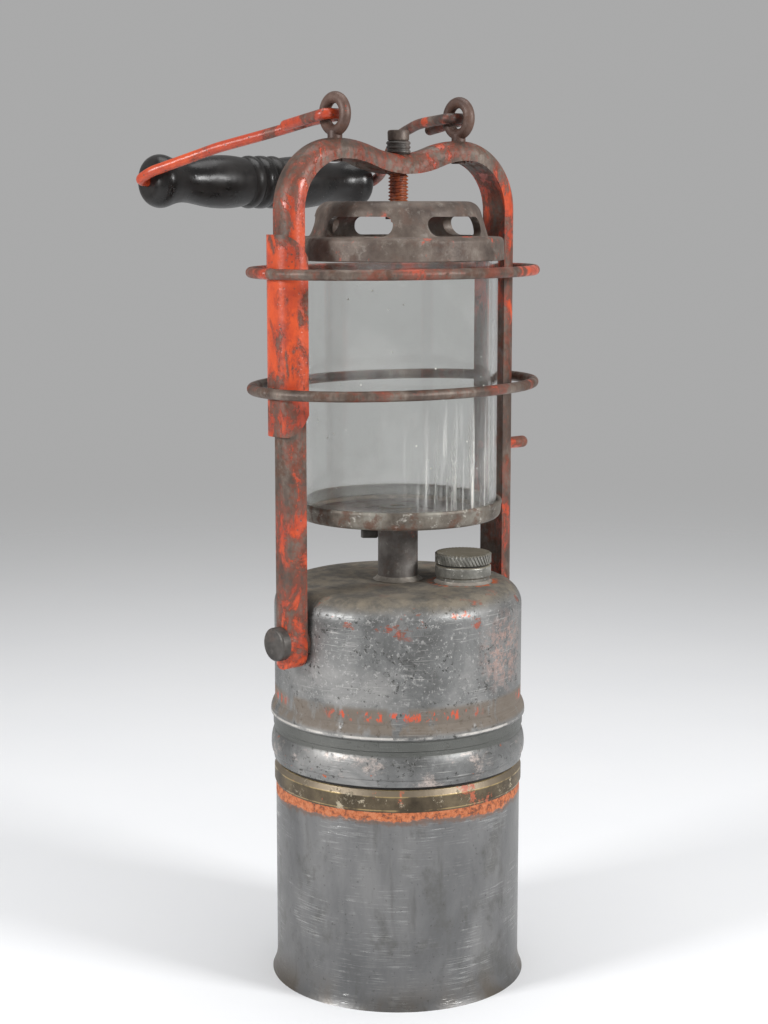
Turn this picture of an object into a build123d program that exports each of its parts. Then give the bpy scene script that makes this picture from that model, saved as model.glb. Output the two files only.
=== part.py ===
from build123d import *
from math import atan, cos, degrees, radians, sin
import os

# Carbide hand lamp: a carbide can below, a water tank above it, a glass-walled flame
# chamber on a central gas tube, and an iron yoke that clamps the chamber and carries
# the bail. Millimetres. The origin is the centre of the base, +Z is up, and +X runs
# along the line of the two yoke studs.

os.makedirs("parts", exist_ok=True)

# ---------------------------------------------------------------- fits
solder_gap = 0.05        # between pieces that are soldered, screwed or pressed together
running_gap = 0.07       # radial, between a turning shaft and its bore
free_gap = 0.3           # radial, between pieces that pass each other freely

# ---------------------------------------------------------------- carbide can
can_radius = 51.1
can_wall = 1.2
can_top_z = 82.5
foot_flare = 2.0         # how far the foot stands out from the wall
foot_height = 8.5
floor_lift = 0.3         # the bottom plate sits this far above the flare of the foot
floor_rim = 5.0
collar_height = 9.0
collar_proud = 0.6       # how far the collar stands out from the can
collar_shelf = 3.6       # from the can's radius in to the collar's thread
collar_spigot = 5.0

# ---------------------------------------------------------------- water tank
seal_thick = 1.0
tank_step = 0.2          # the tank is this much larger than the can
tank_wall = 1.2
tank_height = 74.5       # from the lip at the bottom to the flat top
shoulder_radius = 9.5
lip_step = 1.3           # from the tank's radius in to the edge of its lip
lower_bead_proud = 1.6
upper_bead_proud = 1.7
floor_up = 3.6           # tank floor above the lip
floor_thick = 1.5
skirt_wall = 2.0
skirt_depth = 9.0        # threaded length that goes down into the collar
thread_pitch = 3.0
thread_depth = 0.6

# ---------------------------------------------------------------- gas tube and filter
tube_radius = 8.25
tube_wall = 1.35
tube_above_tank = 28.4   # from the tank top to the seat of the burner socket
filter_margin = 2.95     # the filter cup is this much larger than the tube
filter_wall = 0.8
filter_depth = 12.0
filter_hole = 1.2

# ---------------------------------------------------------------- water valve
valve_margin = 6.25      # from the tube's wall to the valve's axis
valve_bearing = 50.0     # degrees from +X
lever_bearing = 140.0
spindle_radius = 1.9
seat_flange = 5.0
seat_height = 2.5
nozzle_radius = 2.6
nozzle_bore = 1.2
nozzle_drop = 16.0       # below the tank floor
gland_shank = 3.0
gland_flats = 8.0
gland_height = 4.0
lever_gap = 2.8          # from the top of the spindle to the gallery
spindle_tip = 0.7        # how far the spindle stands out of its nut
lever_thick = 3.3
lever_width = 6.0
lever_length = 15.5
lever_boss = 4.0
spindle_nut_flats = 6.0
spindle_nut_height = 2.5

# ---------------------------------------------------------------- filler
filler_x = 17.4
filler_y = -21.0
filler_bore = 8.2
neck_radius = 10.9
neck_height = 7.2
neck_flange_radius = 11.5
neck_flange_height = 4.5
washer_thick = 0.7
cap_radius = 11.6
cap_thick = 4.3
cap_plug_length = 6.4
cap_plug_wall = 1.4
cap_knurls = 44
knurl_radius = 0.35

# ---------------------------------------------------------------- flame chamber
gallery_wall = 1.9
gallery_height = 7.5
gallery_floor = 1.6
gallery_slot_radius = 16.0
gallery_slot_length = 9.0
gallery_slot_width = 3.0
socket_step = 0.25       # the socket's flange is this much smaller than the tube
socket_height = 2.6
socket_bore = 3.2
glass_radius = 40.5
glass_wall = 2.4
glass_height = 107.0
glass_seat_thick = 1.4
glass_clearance = 0.4    # radial, between the glass and the metal that it sits in
hood_rim_wall = 2.0
hood_skirt = 5.4         # how far the rim reaches down past the top of the glass
hood_rim_height = 9.3
hood_height = 23.3
hood_gasket_thick = 1.2
hood_wall = 2.8
hood_step = 4.3          # from the glass's radius in to the foot of the crown
hood_taper = 4.2
window_start = 10.2      # the windows are cut from this far inside that foot
windows = 5
window_bearing = -86.5   # where the first of them is, round from +X
window_width = 29.0
window_height = 7.6
window_end_radius = 3.6

# ---------------------------------------------------------------- clamp screw
screw_radius = 4.05
tip_step = 1.05          # the tip is this much smaller than the screw
tip_length = 8.6
tip_collar_wall = 2.2
tip_collar_height = 4.0
lock_nut_wall = 0.85
lock_nut_height = 5.0
screw_head_proud = 0.35
screw_head_height = 4.3

# ---------------------------------------------------------------- yoke
bar_width = 13.5
bar_thick = 8.0
bar_round = 5.4
arm_gap = 1.4            # between the tank and each arm
hump_bend = 24.2         # centre-line radius of the outer bends
dip_depth = 5.7
pivot_drop = 18.6        # the studs' axis below the tank's flat top
foot_drop = 3.8          # the arms' ends reach this far past the bar's half width
screw_reach = 10.8       # from the top of the hood to the underside of the dip
stud_radius = 3.0
stud_head_radius = 6.75
stud_head_height = 4.0
boss_radius = 6.6
pin_radius = 2.5
pin_length = 12.0
pin_round = 2.0
pin_shank = 2.0
pin_rise = 52.0          # the pin's axis above the tank's flat top

# ---------------------------------------------------------------- eyelets and bail
eye_rod = 2.3
eye_play = 1.95          # between the wire and the inside of the eye
eye_stand = 0.4          # between the ring and the bar
eye_stem = 2.9
eye_rivet = 1.2          # how far the stem shows below the bar
bail_wire_radius = 2.15
bail_droop = 15.0        # degrees below level, where the bail rests
hook_play = 0.75         # between the wire's hook and the side of the eye
hook_bend = 2.6
tail_length = 24.5
tail_rise = 2.6
grip_reach = 97.0
grip_half = 58.5
grip_end_radius = 11.2
grip_barrel_radius = 11.4
grip_neck_radius = 8.9
knuckle_out = 4.8        # the wire's corner beyond the end of the grip
knuckle_bend = 3.2

# ---------------------------------------------------------------- guard
saddle_gap = 0.8
saddle_wall = 1.8
saddle_below = 17.0      # how far the saddle runs past the lower wire
saddle_above = 15.0      # how far it runs past the upper wire
saddle_flank_trim = 9.0
guard_wire_radius = 2.1
guard_play = 1.0         # between the wires and the hood's rim, front and back
guard_drop = 9.8         # the upper wire below the top of the glass
guard_spacing = 46.0
guard_gap_deg = 1.6      # half of the gap where the wire's ends meet

# ---------------------------------------------------------------- derived radii
foot_radius = can_radius + foot_flare
collar_bore = can_radius - collar_shelf
tank_radius = can_radius + tank_step
lip_radius = tank_radius - lip_step
lower_bead_radius = tank_radius + lower_bead_proud
upper_bead_radius = tank_radius + upper_bead_proud
filter_radius = tube_radius + filter_margin
valve_offset = tube_radius + valve_margin
socket_radius = tube_radius - socket_step
gallery_bore = glass_radius + glass_clearance
gallery_radius = gallery_bore + gallery_wall
hood_radius = gallery_bore + hood_rim_wall
hood_foot_radius = glass_radius - hood_step
hood_crown_radius = hood_foot_radius - window_start
tip_radius = screw_radius - tip_step
tip_collar_radius = tip_radius + tip_collar_wall
lock_nut_radius = screw_radius + lock_nut_wall
screw_head_radius = screw_radius + screw_head_proud
arm_x = tank_radius + arm_gap + bar_thick / 2
hump_x = arm_x - hump_bend
eye_ring = eye_rod + bail_wire_radius + eye_play
eye_lift = eye_ring + eye_rod + eye_stand
hook_half_width = eye_rod + bail_wire_radius + hook_play
guard_half_depth = hood_radius + guard_wire_radius + guard_play

# ---------------------------------------------------------------- derived heights
collar_top_z = can_top_z + collar_height
lip_z = collar_top_z + seal_thick
tank_top_z = lip_z + tank_height
tank_floor_z = lip_z + floor_up
tank_inner = tank_radius - tank_wall
tank_skirt_radius = collar_bore - free_gap
socket_z = tank_top_z + tube_above_tank
gallery_z = socket_z - gallery_floor
glass_z = socket_z + glass_seat_thick
glass_top_z = glass_z + glass_height
hood_z = glass_top_z - hood_skirt
hood_ledge_z = glass_top_z + solder_gap + hood_gasket_thick
hood_top_z = hood_z + hood_height
hood_rim_top_z = hood_z + hood_rim_height
dip_low_z = hood_top_z + screw_reach
dip_top_z = dip_low_z + bar_thick
hump_top_z = dip_top_z + dip_depth
pivot_z = tank_top_z - pivot_drop
pin_z = tank_top_z + pin_rise
arm_end_z = pivot_z - bar_width / 2 - foot_drop
arm_inner_x = arm_x - bar_thick / 2
arm_outer_x = arm_x + bar_thick / 2
bail_z = hump_top_z + eye_lift
valve_x = valve_offset * cos(radians(valve_bearing))
valve_y = valve_offset * sin(radians(valve_bearing))
spindle_top_z = gallery_z - lever_gap
lever_z = spindle_top_z - spindle_tip - spindle_nut_height - lever_thick
guard_upper_z = glass_top_z - guard_drop
guard_lower_z = guard_upper_z - guard_spacing
saddle_low_z = guard_lower_z - saddle_below
saddle_high_z = guard_upper_z + saddle_above


# ================================================================ carbide can
with BuildPart() as can_shell:
    with BuildSketch(Plane.XZ):
        with BuildLine():
            TangentArc((can_radius, foot_height), (foot_radius, 0), tangent=(0, -1))
            Line((foot_radius, 0), (foot_radius - can_wall, 0))
            TangentArc(
                (can_radius - can_wall, foot_height),
                (foot_radius - can_wall, 0),
                tangent=(0, -1),
            )
            Polyline(
                (can_radius - can_wall, foot_height),
                (can_radius - can_wall, can_top_z),
                (can_radius, can_top_z),
                (can_radius, foot_height),
            )
        make_face()
    revolve(axis=Axis.Z)

can_shell.part.label = "can_shell"
export_step(can_shell.part, "parts/can_shell.step")

# The bottom is a pressed plate with an upturned rim, soldered in above the foot.
floor_z = foot_height + floor_lift
with BuildPart() as can_floor:
    with BuildSketch(Plane.XY.offset(floor_z)):
        Circle(can_radius - can_wall - solder_gap)
    extrude(amount=floor_rim)
    with BuildSketch(Plane.XY.offset(floor_z + can_wall)):
        Circle(can_radius - 2 * can_wall)
    extrude(amount=floor_rim, mode=Mode.SUBTRACT)
    fillet(can_floor.edges().group_by(Axis.Z)[0], radius=can_wall / 2)

can_floor.part.label = "can_floor"
export_step(can_floor.part, "parts/can_floor.step")

collar_radius = can_radius + collar_proud
collar_spigot_radius = can_radius - can_wall - solder_gap
with BuildPart() as can_collar:
    with BuildSketch(Plane.XZ):
        with BuildLine():
            FilletPolyline(
                (collar_bore, can_top_z - collar_spigot),
                (collar_bore, collar_top_z),
                (collar_radius - 1.3, collar_top_z),
                (collar_radius, collar_top_z - 2.4),
                (collar_radius, can_top_z + 1.2),
                (can_radius + 0.1, can_top_z),
                (collar_spigot_radius, can_top_z),
                (collar_spigot_radius, can_top_z - collar_spigot),
                radius=[0.3, 0.5, 0.5, 0.7, 0.2, 0, 0, 0.3],
                close=True,
            )
        make_face()
    revolve(axis=Axis.Z)

can_collar.part.label = "can_collar"
export_step(can_collar.part, "parts/can_collar.step")

# ================================================================ water tank
with BuildPart() as seal_ring:
    with BuildSketch(Plane.XY.offset(collar_top_z)):
        Circle(lip_radius - 0.1)
        Circle(collar_bore + 0.1, mode=Mode.SUBTRACT)
    extrude(amount=seal_thick)

seal_ring.part.label = "seal_ring"
export_step(seal_ring.part, "parts/seal_ring.step")

# The wall swells into a rolled band over the lip, dips into a groove, and carries a
# sharp-edged bead where the upper sheet laps over the lower one.
band_low = lip_z + 3.6
band_high = lip_z + 13.0
lap_z = lip_z + 18.8
bead_low = lip_z + 19.8
bead_high = lip_z + 25.4
with BuildPart() as tank_shell:
    with BuildSketch(Plane.XZ):
        with BuildLine():
            Polyline(
                (tank_inner, lip_z),
                (lip_radius, lip_z),
                (tank_radius + 0.5, lip_z + 0.5),
                (tank_radius + 0.9, band_low - 0.4),
                (lower_bead_radius - 0.3, band_low),
            )
            ThreePointArc(
                (lower_bead_radius - 0.3, band_low),
                (lower_bead_radius, band_low + 2.7),
                (tank_radius + 0.3, band_high),
            )
            Polyline(
                (tank_radius + 0.3, band_high),
                (tank_radius + 0.2, band_high + 1.7),
                (tank_radius + 0.7, band_high + 2.1),
                (tank_radius + 0.8, lap_z),
                (upper_bead_radius, bead_low),
            )
            ThreePointArc(
                (upper_bead_radius, bead_low),
                (upper_bead_radius - 0.2, bead_low + 2.4),
                (tank_radius, bead_high),
            )
            FilletPolyline(
                (tank_radius, bead_high),
                (tank_radius, tank_top_z),
                (tube_radius + solder_gap, tank_top_z),
                (tube_radius + solder_gap, tank_top_z - tank_wall),
                (tank_inner, tank_top_z - tank_wall),
                (tank_inner, lip_z),
                radius=[shoulder_radius, 0, 0, shoulder_radius - tank_wall],
            )
        make_face()
    revolve(axis=Axis.Z)
    with BuildSketch(Plane.XY.offset(tank_top_z)):
        with Locations((filler_x, filler_y)):
            Circle(filler_bore)
        with Locations((valve_x, valve_y)):
            Circle(gland_shank + solder_gap)
    extrude(amount=-2 * tank_wall, mode=Mode.SUBTRACT)
    with BuildSketch(Plane.YZ):
        with Locations((0, pivot_z)):
            Circle(stud_radius + solder_gap)
    extrude(amount=tank_radius + 1, both=True, mode=Mode.SUBTRACT)

tank_shell.part.label = "tank_shell"
export_step(tank_shell.part, "parts/tank_shell.step")

with BuildPart() as tank_floor:
    with BuildSketch(Plane.XY.offset(tank_floor_z)):
        Circle(tank_inner - solder_gap)
        Circle(tube_radius + solder_gap, mode=Mode.SUBTRACT)
        with Locations((valve_x, valve_y)):
            Circle(nozzle_radius + solder_gap, mode=Mode.SUBTRACT)
    extrude(amount=floor_thick)

tank_floor.part.label = "tank_floor"
export_step(tank_floor.part, "parts/tank_floor.step")

# The threaded ring under the floor screws into the collar of the can.
thread_z = [collar_top_z - skirt_depth + n * thread_pitch for n in range(3)]
thread_points = []
for z in thread_z:
    thread_points += [
        (tank_skirt_radius - thread_depth, z),
        (tank_skirt_radius, z + 0.3 * thread_pitch),
        (tank_skirt_radius, z + 0.6 * thread_pitch),
        (tank_skirt_radius - thread_depth, z + 0.9 * thread_pitch),
    ]
with BuildPart() as tank_skirt:
    with BuildSketch(Plane.XZ):
        with BuildLine():
            Polyline(
                (tank_skirt_radius - skirt_wall, tank_floor_z),
                (tank_skirt_radius - skirt_wall, thread_z[0]),
                *thread_points,
                (tank_skirt_radius - thread_depth, tank_floor_z),
                close=True,
            )
        make_face()
    revolve(axis=Axis.Z)

tank_skirt.part.label = "tank_skirt"
export_step(tank_skirt.part, "parts/tank_skirt.step")

with BuildPart() as gas_tube:
    with BuildSketch(Plane.XY.offset(tank_floor_z - 1.0)):
        Circle(tube_radius)
        Circle(tube_radius - tube_wall, mode=Mode.SUBTRACT)
    extrude(amount=socket_z - tank_floor_z + 1.0)

gas_tube.part.label = "gas_tube"
export_step(gas_tube.part, "parts/gas_tube.step")

# ---------------------------------------------------------------- gas filter
with BuildPart() as filter_cup:
    with BuildSketch(Plane.XY.offset(tank_floor_z - filter_depth)):
        Circle(filter_radius)
    extrude(amount=filter_depth)
    with BuildSketch(Plane.XY.offset(tank_floor_z - filter_depth + filter_wall)):
        Circle(filter_radius - filter_wall)
    extrude(amount=filter_depth, mode=Mode.SUBTRACT)
    with BuildSketch(Plane.XY.offset(tank_floor_z - filter_depth)):
        Circle(filter_hole)
        with PolarLocations(filter_radius / 2, 6):
            Circle(filter_hole)
    extrude(amount=filter_wall, mode=Mode.SUBTRACT)

filter_cup.part.label = "filter_cup"
export_step(filter_cup.part, "parts/filter_cup.step")

with BuildPart() as filter_felt:
    with BuildSketch(Plane.XY.offset(tank_floor_z - filter_depth + filter_wall)):
        Circle(filter_radius - filter_wall - free_gap)
    extrude(amount=filter_depth - filter_wall - 1.5)
    fillet(filter_felt.edges(), radius=0.8)

filter_felt.part.label = "filter_felt"
export_step(filter_felt.part, "parts/filter_felt.step")

# ---------------------------------------------------------------- water valve
seat_floor_z = tank_floor_z + floor_thick
seat_top_z = seat_floor_z + seat_height
seat_mouth = spindle_radius + 0.3
valve_plane = Plane(origin=(valve_x, valve_y, 0), x_dir=(1, 0, 0), z_dir=(0, 0, 1))
valve_side = Plane(origin=(valve_x, valve_y, 0), x_dir=(1, 0, 0), z_dir=(0, -1, 0))
valve_axis = Axis((valve_x, valve_y, 0), (0, 0, 1))
with BuildPart() as valve_seat:
    with BuildSketch(valve_side):
        with BuildLine():
            Polyline(
                (nozzle_bore, tank_floor_z - nozzle_drop),
                (nozzle_radius - 0.6, tank_floor_z - nozzle_drop),
                (nozzle_radius, tank_floor_z - nozzle_drop + 2),
                (nozzle_radius, seat_floor_z),
                (seat_flange, seat_floor_z),
                (seat_flange, seat_top_z - 0.6),
                (seat_flange - 0.6, seat_top_z),
                (seat_mouth, seat_top_z),
                (nozzle_bore, seat_top_z - 2),
                close=True,
            )
        make_face()
    revolve(axis=valve_axis)

valve_seat.part.label = "valve_seat"
export_step(valve_seat.part, "parts/valve_seat.step")

with BuildPart() as valve_spindle:
    with BuildSketch(valve_side):
        with BuildLine():
            Polyline(
                (0, seat_top_z - 2.6),
                (0.5, seat_top_z - 2.6),
                (nozzle_bore - 0.2, seat_top_z - 2),
                (spindle_radius, seat_top_z),
                (spindle_radius, spindle_top_z - 0.4),
                (spindle_radius - 0.4, spindle_top_z),
                (0, spindle_top_z),
                close=True,
            )
        make_face()
    revolve(axis=valve_axis)

valve_spindle.part.label = "valve_spindle"
export_step(valve_spindle.part, "parts/valve_spindle.step")

gland_nose = 2.5
with BuildPart() as valve_gland:
    with BuildSketch(valve_plane.offset(tank_top_z - 4)):
        Circle(gland_shank)
    extrude(amount=4)
    with BuildSketch(valve_plane.offset(tank_top_z)):
        RegularPolygon(gland_flats / 2, 6, major_radius=False)
    extrude(amount=gland_height)
    with BuildSketch(valve_plane.offset(tank_top_z + gland_height)):
        Circle(gland_flats / 2 - 0.6)
    extrude(amount=gland_nose, taper=8)
    with BuildSketch(valve_plane.offset(tank_top_z - 4)):
        Circle(spindle_radius + running_gap)
    extrude(amount=4 + gland_height + gland_nose, mode=Mode.SUBTRACT)

valve_gland.part.label = "valve_gland"
export_step(valve_gland.part, "parts/valve_gland.step")

lever_plane = valve_plane.offset(lever_z).rotated((0, 0, lever_bearing))
lever_plane.origin = (valve_x, valve_y, lever_z)
with BuildPart() as valve_lever:
    with BuildSketch(lever_plane):
        Circle(lever_boss)
        with Locations(((lever_length - lever_width / 2) / 2, 0)):
            Rectangle(lever_length - lever_width / 2, lever_width)
        with Locations((lever_length - lever_width / 2, 0)):
            Circle(lever_width / 2)
    extrude(amount=lever_thick)
    fillet(valve_lever.edges().group_by(Axis.Z)[-1], radius=0.5)
    with BuildSketch(valve_plane.offset(lever_z)):
        Circle(spindle_radius + solder_gap)
    extrude(amount=lever_thick, mode=Mode.SUBTRACT)

valve_lever.part.label = "valve_lever"
export_step(valve_lever.part, "parts/valve_lever.step")

with BuildPart() as spindle_nut:
    with BuildSketch(valve_plane.offset(lever_z + lever_thick)):
        RegularPolygon(spindle_nut_flats / 2, 6, major_radius=False)
        Circle(spindle_radius + solder_gap, mode=Mode.SUBTRACT)
    extrude(amount=spindle_nut_height)

spindle_nut.part.label = "spindle_nut"
export_step(spindle_nut.part, "parts/spindle_nut.step")

# ---------------------------------------------------------------- filler
filler_side = Plane(origin=(filler_x, filler_y, 0), x_dir=(1, 0, 0), z_dir=(0, -1, 0))
filler_axis = Axis((filler_x, filler_y, 0), (0, 0, 1))
neck_top_z = tank_top_z + neck_height
flange_z = neck_top_z - neck_flange_height
with BuildPart() as filler_neck:
    with BuildSketch(filler_side):
        with BuildLine():
            FilletPolyline(
                (filler_bore, tank_top_z),
                (neck_radius, tank_top_z),
                (neck_radius, flange_z - 0.3),
                (neck_radius - 0.5, flange_z - 0.15),
                (neck_flange_radius, flange_z),
                (neck_flange_radius, neck_top_z),
                (filler_bore, neck_top_z),
                radius=[0, 0, 0, 0, 0.5, 0.7, 0],
                close=True,
            )
        make_face()
    revolve(axis=filler_axis)

filler_neck.part.label = "filler_neck"
export_step(filler_neck.part, "parts/filler_neck.step")

filler_plane = Plane(origin=(filler_x, filler_y, 0), x_dir=(1, 0, 0), z_dir=(0, 0, 1))
with BuildPart() as filler_washer:
    with BuildSketch(filler_plane.offset(neck_top_z)):
        Circle(neck_flange_radius - 1.0)
        Circle(filler_bore + 0.2, mode=Mode.SUBTRACT)
    extrude(amount=washer_thick)

filler_washer.part.label = "filler_washer"
export_step(filler_washer.part, "parts/filler_washer.step")

cap_z = neck_top_z + washer_thick
cap_plug_radius = filler_bore - free_gap
with BuildPart() as filler_cap:
    with BuildSketch(filler_plane.offset(cap_z)):
        Circle(cap_radius)
    extrude(amount=cap_thick)
    chamfer(filler_cap.edges().filter_by(GeomType.CIRCLE), length=0.5)
    with BuildSketch(filler_plane.offset(cap_z)):
        with PolarLocations(cap_radius + 0.1, cap_knurls):
            Circle(knurl_radius)
    extrude(amount=cap_thick, mode=Mode.SUBTRACT)
    with BuildSketch(filler_plane.offset(cap_z)):
        Circle(cap_plug_radius)
        Circle(cap_plug_radius - cap_plug_wall, mode=Mode.SUBTRACT)
    extrude(amount=-cap_plug_length)

filler_cap.part.label = "filler_cap"
export_step(filler_cap.part, "parts/filler_cap.step")

# ================================================================ flame chamber
gallery_top_z = gallery_z + gallery_height
with BuildPart() as gallery:
    with BuildSketch(Plane.XZ):
        with BuildLine():
            FilletPolyline(
                (tube_radius + solder_gap, gallery_z),
                (gallery_radius - 0.8, gallery_z),
                (gallery_radius - 0.3, gallery_top_z - 2.4),
                (gallery_radius, gallery_top_z - 1.2),
                (gallery_radius - 0.4, gallery_top_z),
                (gallery_bore, gallery_top_z - 0.3),
                (gallery_bore, socket_z),
                (tube_radius + solder_gap, socket_z),
                radius=[0, 2.6, 0.5, 0.8, 0.5, 0.4, 0.3, 0],
                close=True,
            )
        make_face()
    revolve(axis=Axis.Z)
    with BuildSketch(Plane.XY.offset(gallery_z)):
        with PolarLocations(gallery_slot_radius, 4):
            SlotOverall(gallery_slot_length, gallery_slot_width, rotation=90)
    extrude(amount=gallery_floor, mode=Mode.SUBTRACT)

gallery.part.label = "burner_gallery"
export_step(gallery.part, "parts/burner_gallery.step")

with BuildPart() as burner_socket:
    with BuildSketch(Plane.XY.offset(socket_z)):
        Circle(socket_radius)
    extrude(amount=socket_height)
    fillet(burner_socket.edges().group_by(Axis.Z)[-1], radius=0.8)
    with BuildSketch(Plane.XY.offset(socket_z - 3)):
        Circle(tube_radius - tube_wall - solder_gap)
    extrude(amount=3)
    with BuildSketch(Plane.XY.offset(socket_z - 3)):
        Circle(socket_bore)
    extrude(amount=3 + socket_height, mode=Mode.SUBTRACT)

burner_socket.part.label = "burner_socket"
export_step(burner_socket.part, "parts/burner_socket.step")

with BuildPart() as glass_seat:
    with BuildSketch(Plane.XY.offset(socket_z)):
        Circle(gallery_bore - solder_gap - 0.35)
        Circle(glass_radius - glass_wall - 1.0, mode=Mode.SUBTRACT)
    extrude(amount=glass_seat_thick)

glass_seat.part.label = "glass_seat"
export_step(glass_seat.part, "parts/glass_seat.step")

with BuildPart() as glass_chimney:
    with BuildSketch(Plane.XY.offset(glass_z)):
        Circle(glass_radius)
        Circle(glass_radius - glass_wall, mode=Mode.SUBTRACT)
    extrude(amount=glass_height)
    fillet(glass_chimney.edges().filter_by(GeomType.CIRCLE), radius=0.6)

glass_chimney.part.label = "glass_chimney"
export_step(glass_chimney.part, "parts/glass_chimney.step")

# ---------------------------------------------------------------- hood
hood_under_z = hood_top_z - hood_wall
tip_hole = tip_radius + running_gap
with BuildPart() as hood:
    with BuildSketch(Plane.XZ):
        with BuildLine():
            FilletPolyline(
                (tip_hole, hood_under_z),
                (tip_hole, hood_top_z),
                (hood_foot_radius - hood_taper, hood_top_z),
                (hood_foot_radius, hood_rim_top_z),
                (hood_radius - 0.4, hood_rim_top_z),
                (hood_radius, hood_z),
                (gallery_bore, hood_z),
                (gallery_bore, hood_ledge_z),
                (hood_foot_radius - hood_wall, hood_ledge_z),
                (hood_foot_radius - hood_taper - hood_wall, hood_under_z),
                radius=[0, 0, 6.0, 0.6, 2.0, 0.5, 0.4, 0, 0.5, 3.0],
                close=True,
            )
        make_face()
    revolve(axis=Axis.Z)
    for n in range(windows):
        bearing = window_bearing + n * 360 / windows
        window_plane = Plane(
            origin=(0, 0, hood_rim_top_z + 0.4 + window_height / 2),
            x_dir=(-sin(radians(bearing)), cos(radians(bearing)), 0),
            z_dir=(cos(radians(bearing)), sin(radians(bearing)), 0),
        )
        with BuildSketch(window_plane.offset(hood_crown_radius)):
            RectangleRounded(window_width, window_height, window_end_radius)
        extrude(amount=hood_radius - hood_crown_radius, mode=Mode.SUBTRACT)

hood.part.label = "hood"
export_step(hood.part, "parts/hood.step")

with BuildPart() as hood_gasket:
    with BuildSketch(Plane.XY.offset(glass_top_z + solder_gap)):
        Circle(glass_radius + 0.2)
        Circle(glass_radius - glass_wall - 1.0, mode=Mode.SUBTRACT)
    extrude(amount=hood_gasket_thick)

hood_gasket.part.label = "hood_gasket"
export_step(hood_gasket.part, "parts/hood_gasket.step")

# ---------------------------------------------------------------- clamp screw
# The reduced tip turns in the crown of the hood, and a pinned collar below holds it
# there, so the hood rises with the screw without turning.
shoulder_z = hood_top_z + 0.15
nut_z = dip_top_z + 0.1
head_z = nut_z + lock_nut_height
head_top_z = head_z + screw_head_height
with BuildPart() as clamp_screw:
    with BuildSketch(Plane.XY.offset(shoulder_z - tip_length)):
        Circle(tip_radius)
    extrude(amount=tip_length)
    chamfer(clamp_screw.edges().group_by(Axis.Z)[0], length=0.5)
    with BuildSketch(Plane.XY.offset(shoulder_z)):
        Circle(screw_radius)
    extrude(amount=head_z - shoulder_z)
    with BuildSketch(Plane.XY.offset(head_z)):
        Circle(screw_head_radius)
    extrude(amount=screw_head_height)
    chamfer(clamp_screw.edges().group_by(Axis.Z)[-1], length=0.5)

clamp_screw.part.label = "clamp_screw"
export_step(clamp_screw.part, "parts/clamp_screw.step")

with BuildPart() as tip_collar:
    with BuildSketch(Plane.XY.offset(hood_under_z - free_gap - tip_collar_height)):
        Circle(tip_collar_radius)
        Circle(tip_radius + solder_gap, mode=Mode.SUBTRACT)
    extrude(amount=tip_collar_height)

tip_collar.part.label = "tip_collar"
export_step(tip_collar.part, "parts/tip_collar.step")

with BuildPart() as lock_nut:
    with BuildSketch(Plane.XY.offset(nut_z)):
        Circle(lock_nut_radius)
        Circle(screw_radius + solder_gap, mode=Mode.SUBTRACT)
    extrude(amount=lock_nut_height - solder_gap)
    outer = lock_nut.edges().filter_by(GeomType.CIRCLE).group_by(SortBy.RADIUS)[-1]
    chamfer(outer, length=0.4)

lock_nut.part.label = "lock_nut"
export_step(lock_nut.part, "parts/lock_nut.step")


# ================================================================ yoke
def bar_section(grow, inner=0.0):
    """The bar's D section, with its flat face at x = inner and its round side at -x."""
    half = bar_width / 2 + grow
    outer = -bar_thick - grow
    rounding = bar_round + grow
    with BuildSketch() as section:
        with BuildLine():
            FilletPolyline(
                (inner, half),
                (outer, half),
                (outer, -half),
                (inner, -half),
                radius=[0, rounding, rounding, 0],
                close=True,
            )
        make_face()
    return section.sketch


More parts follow.
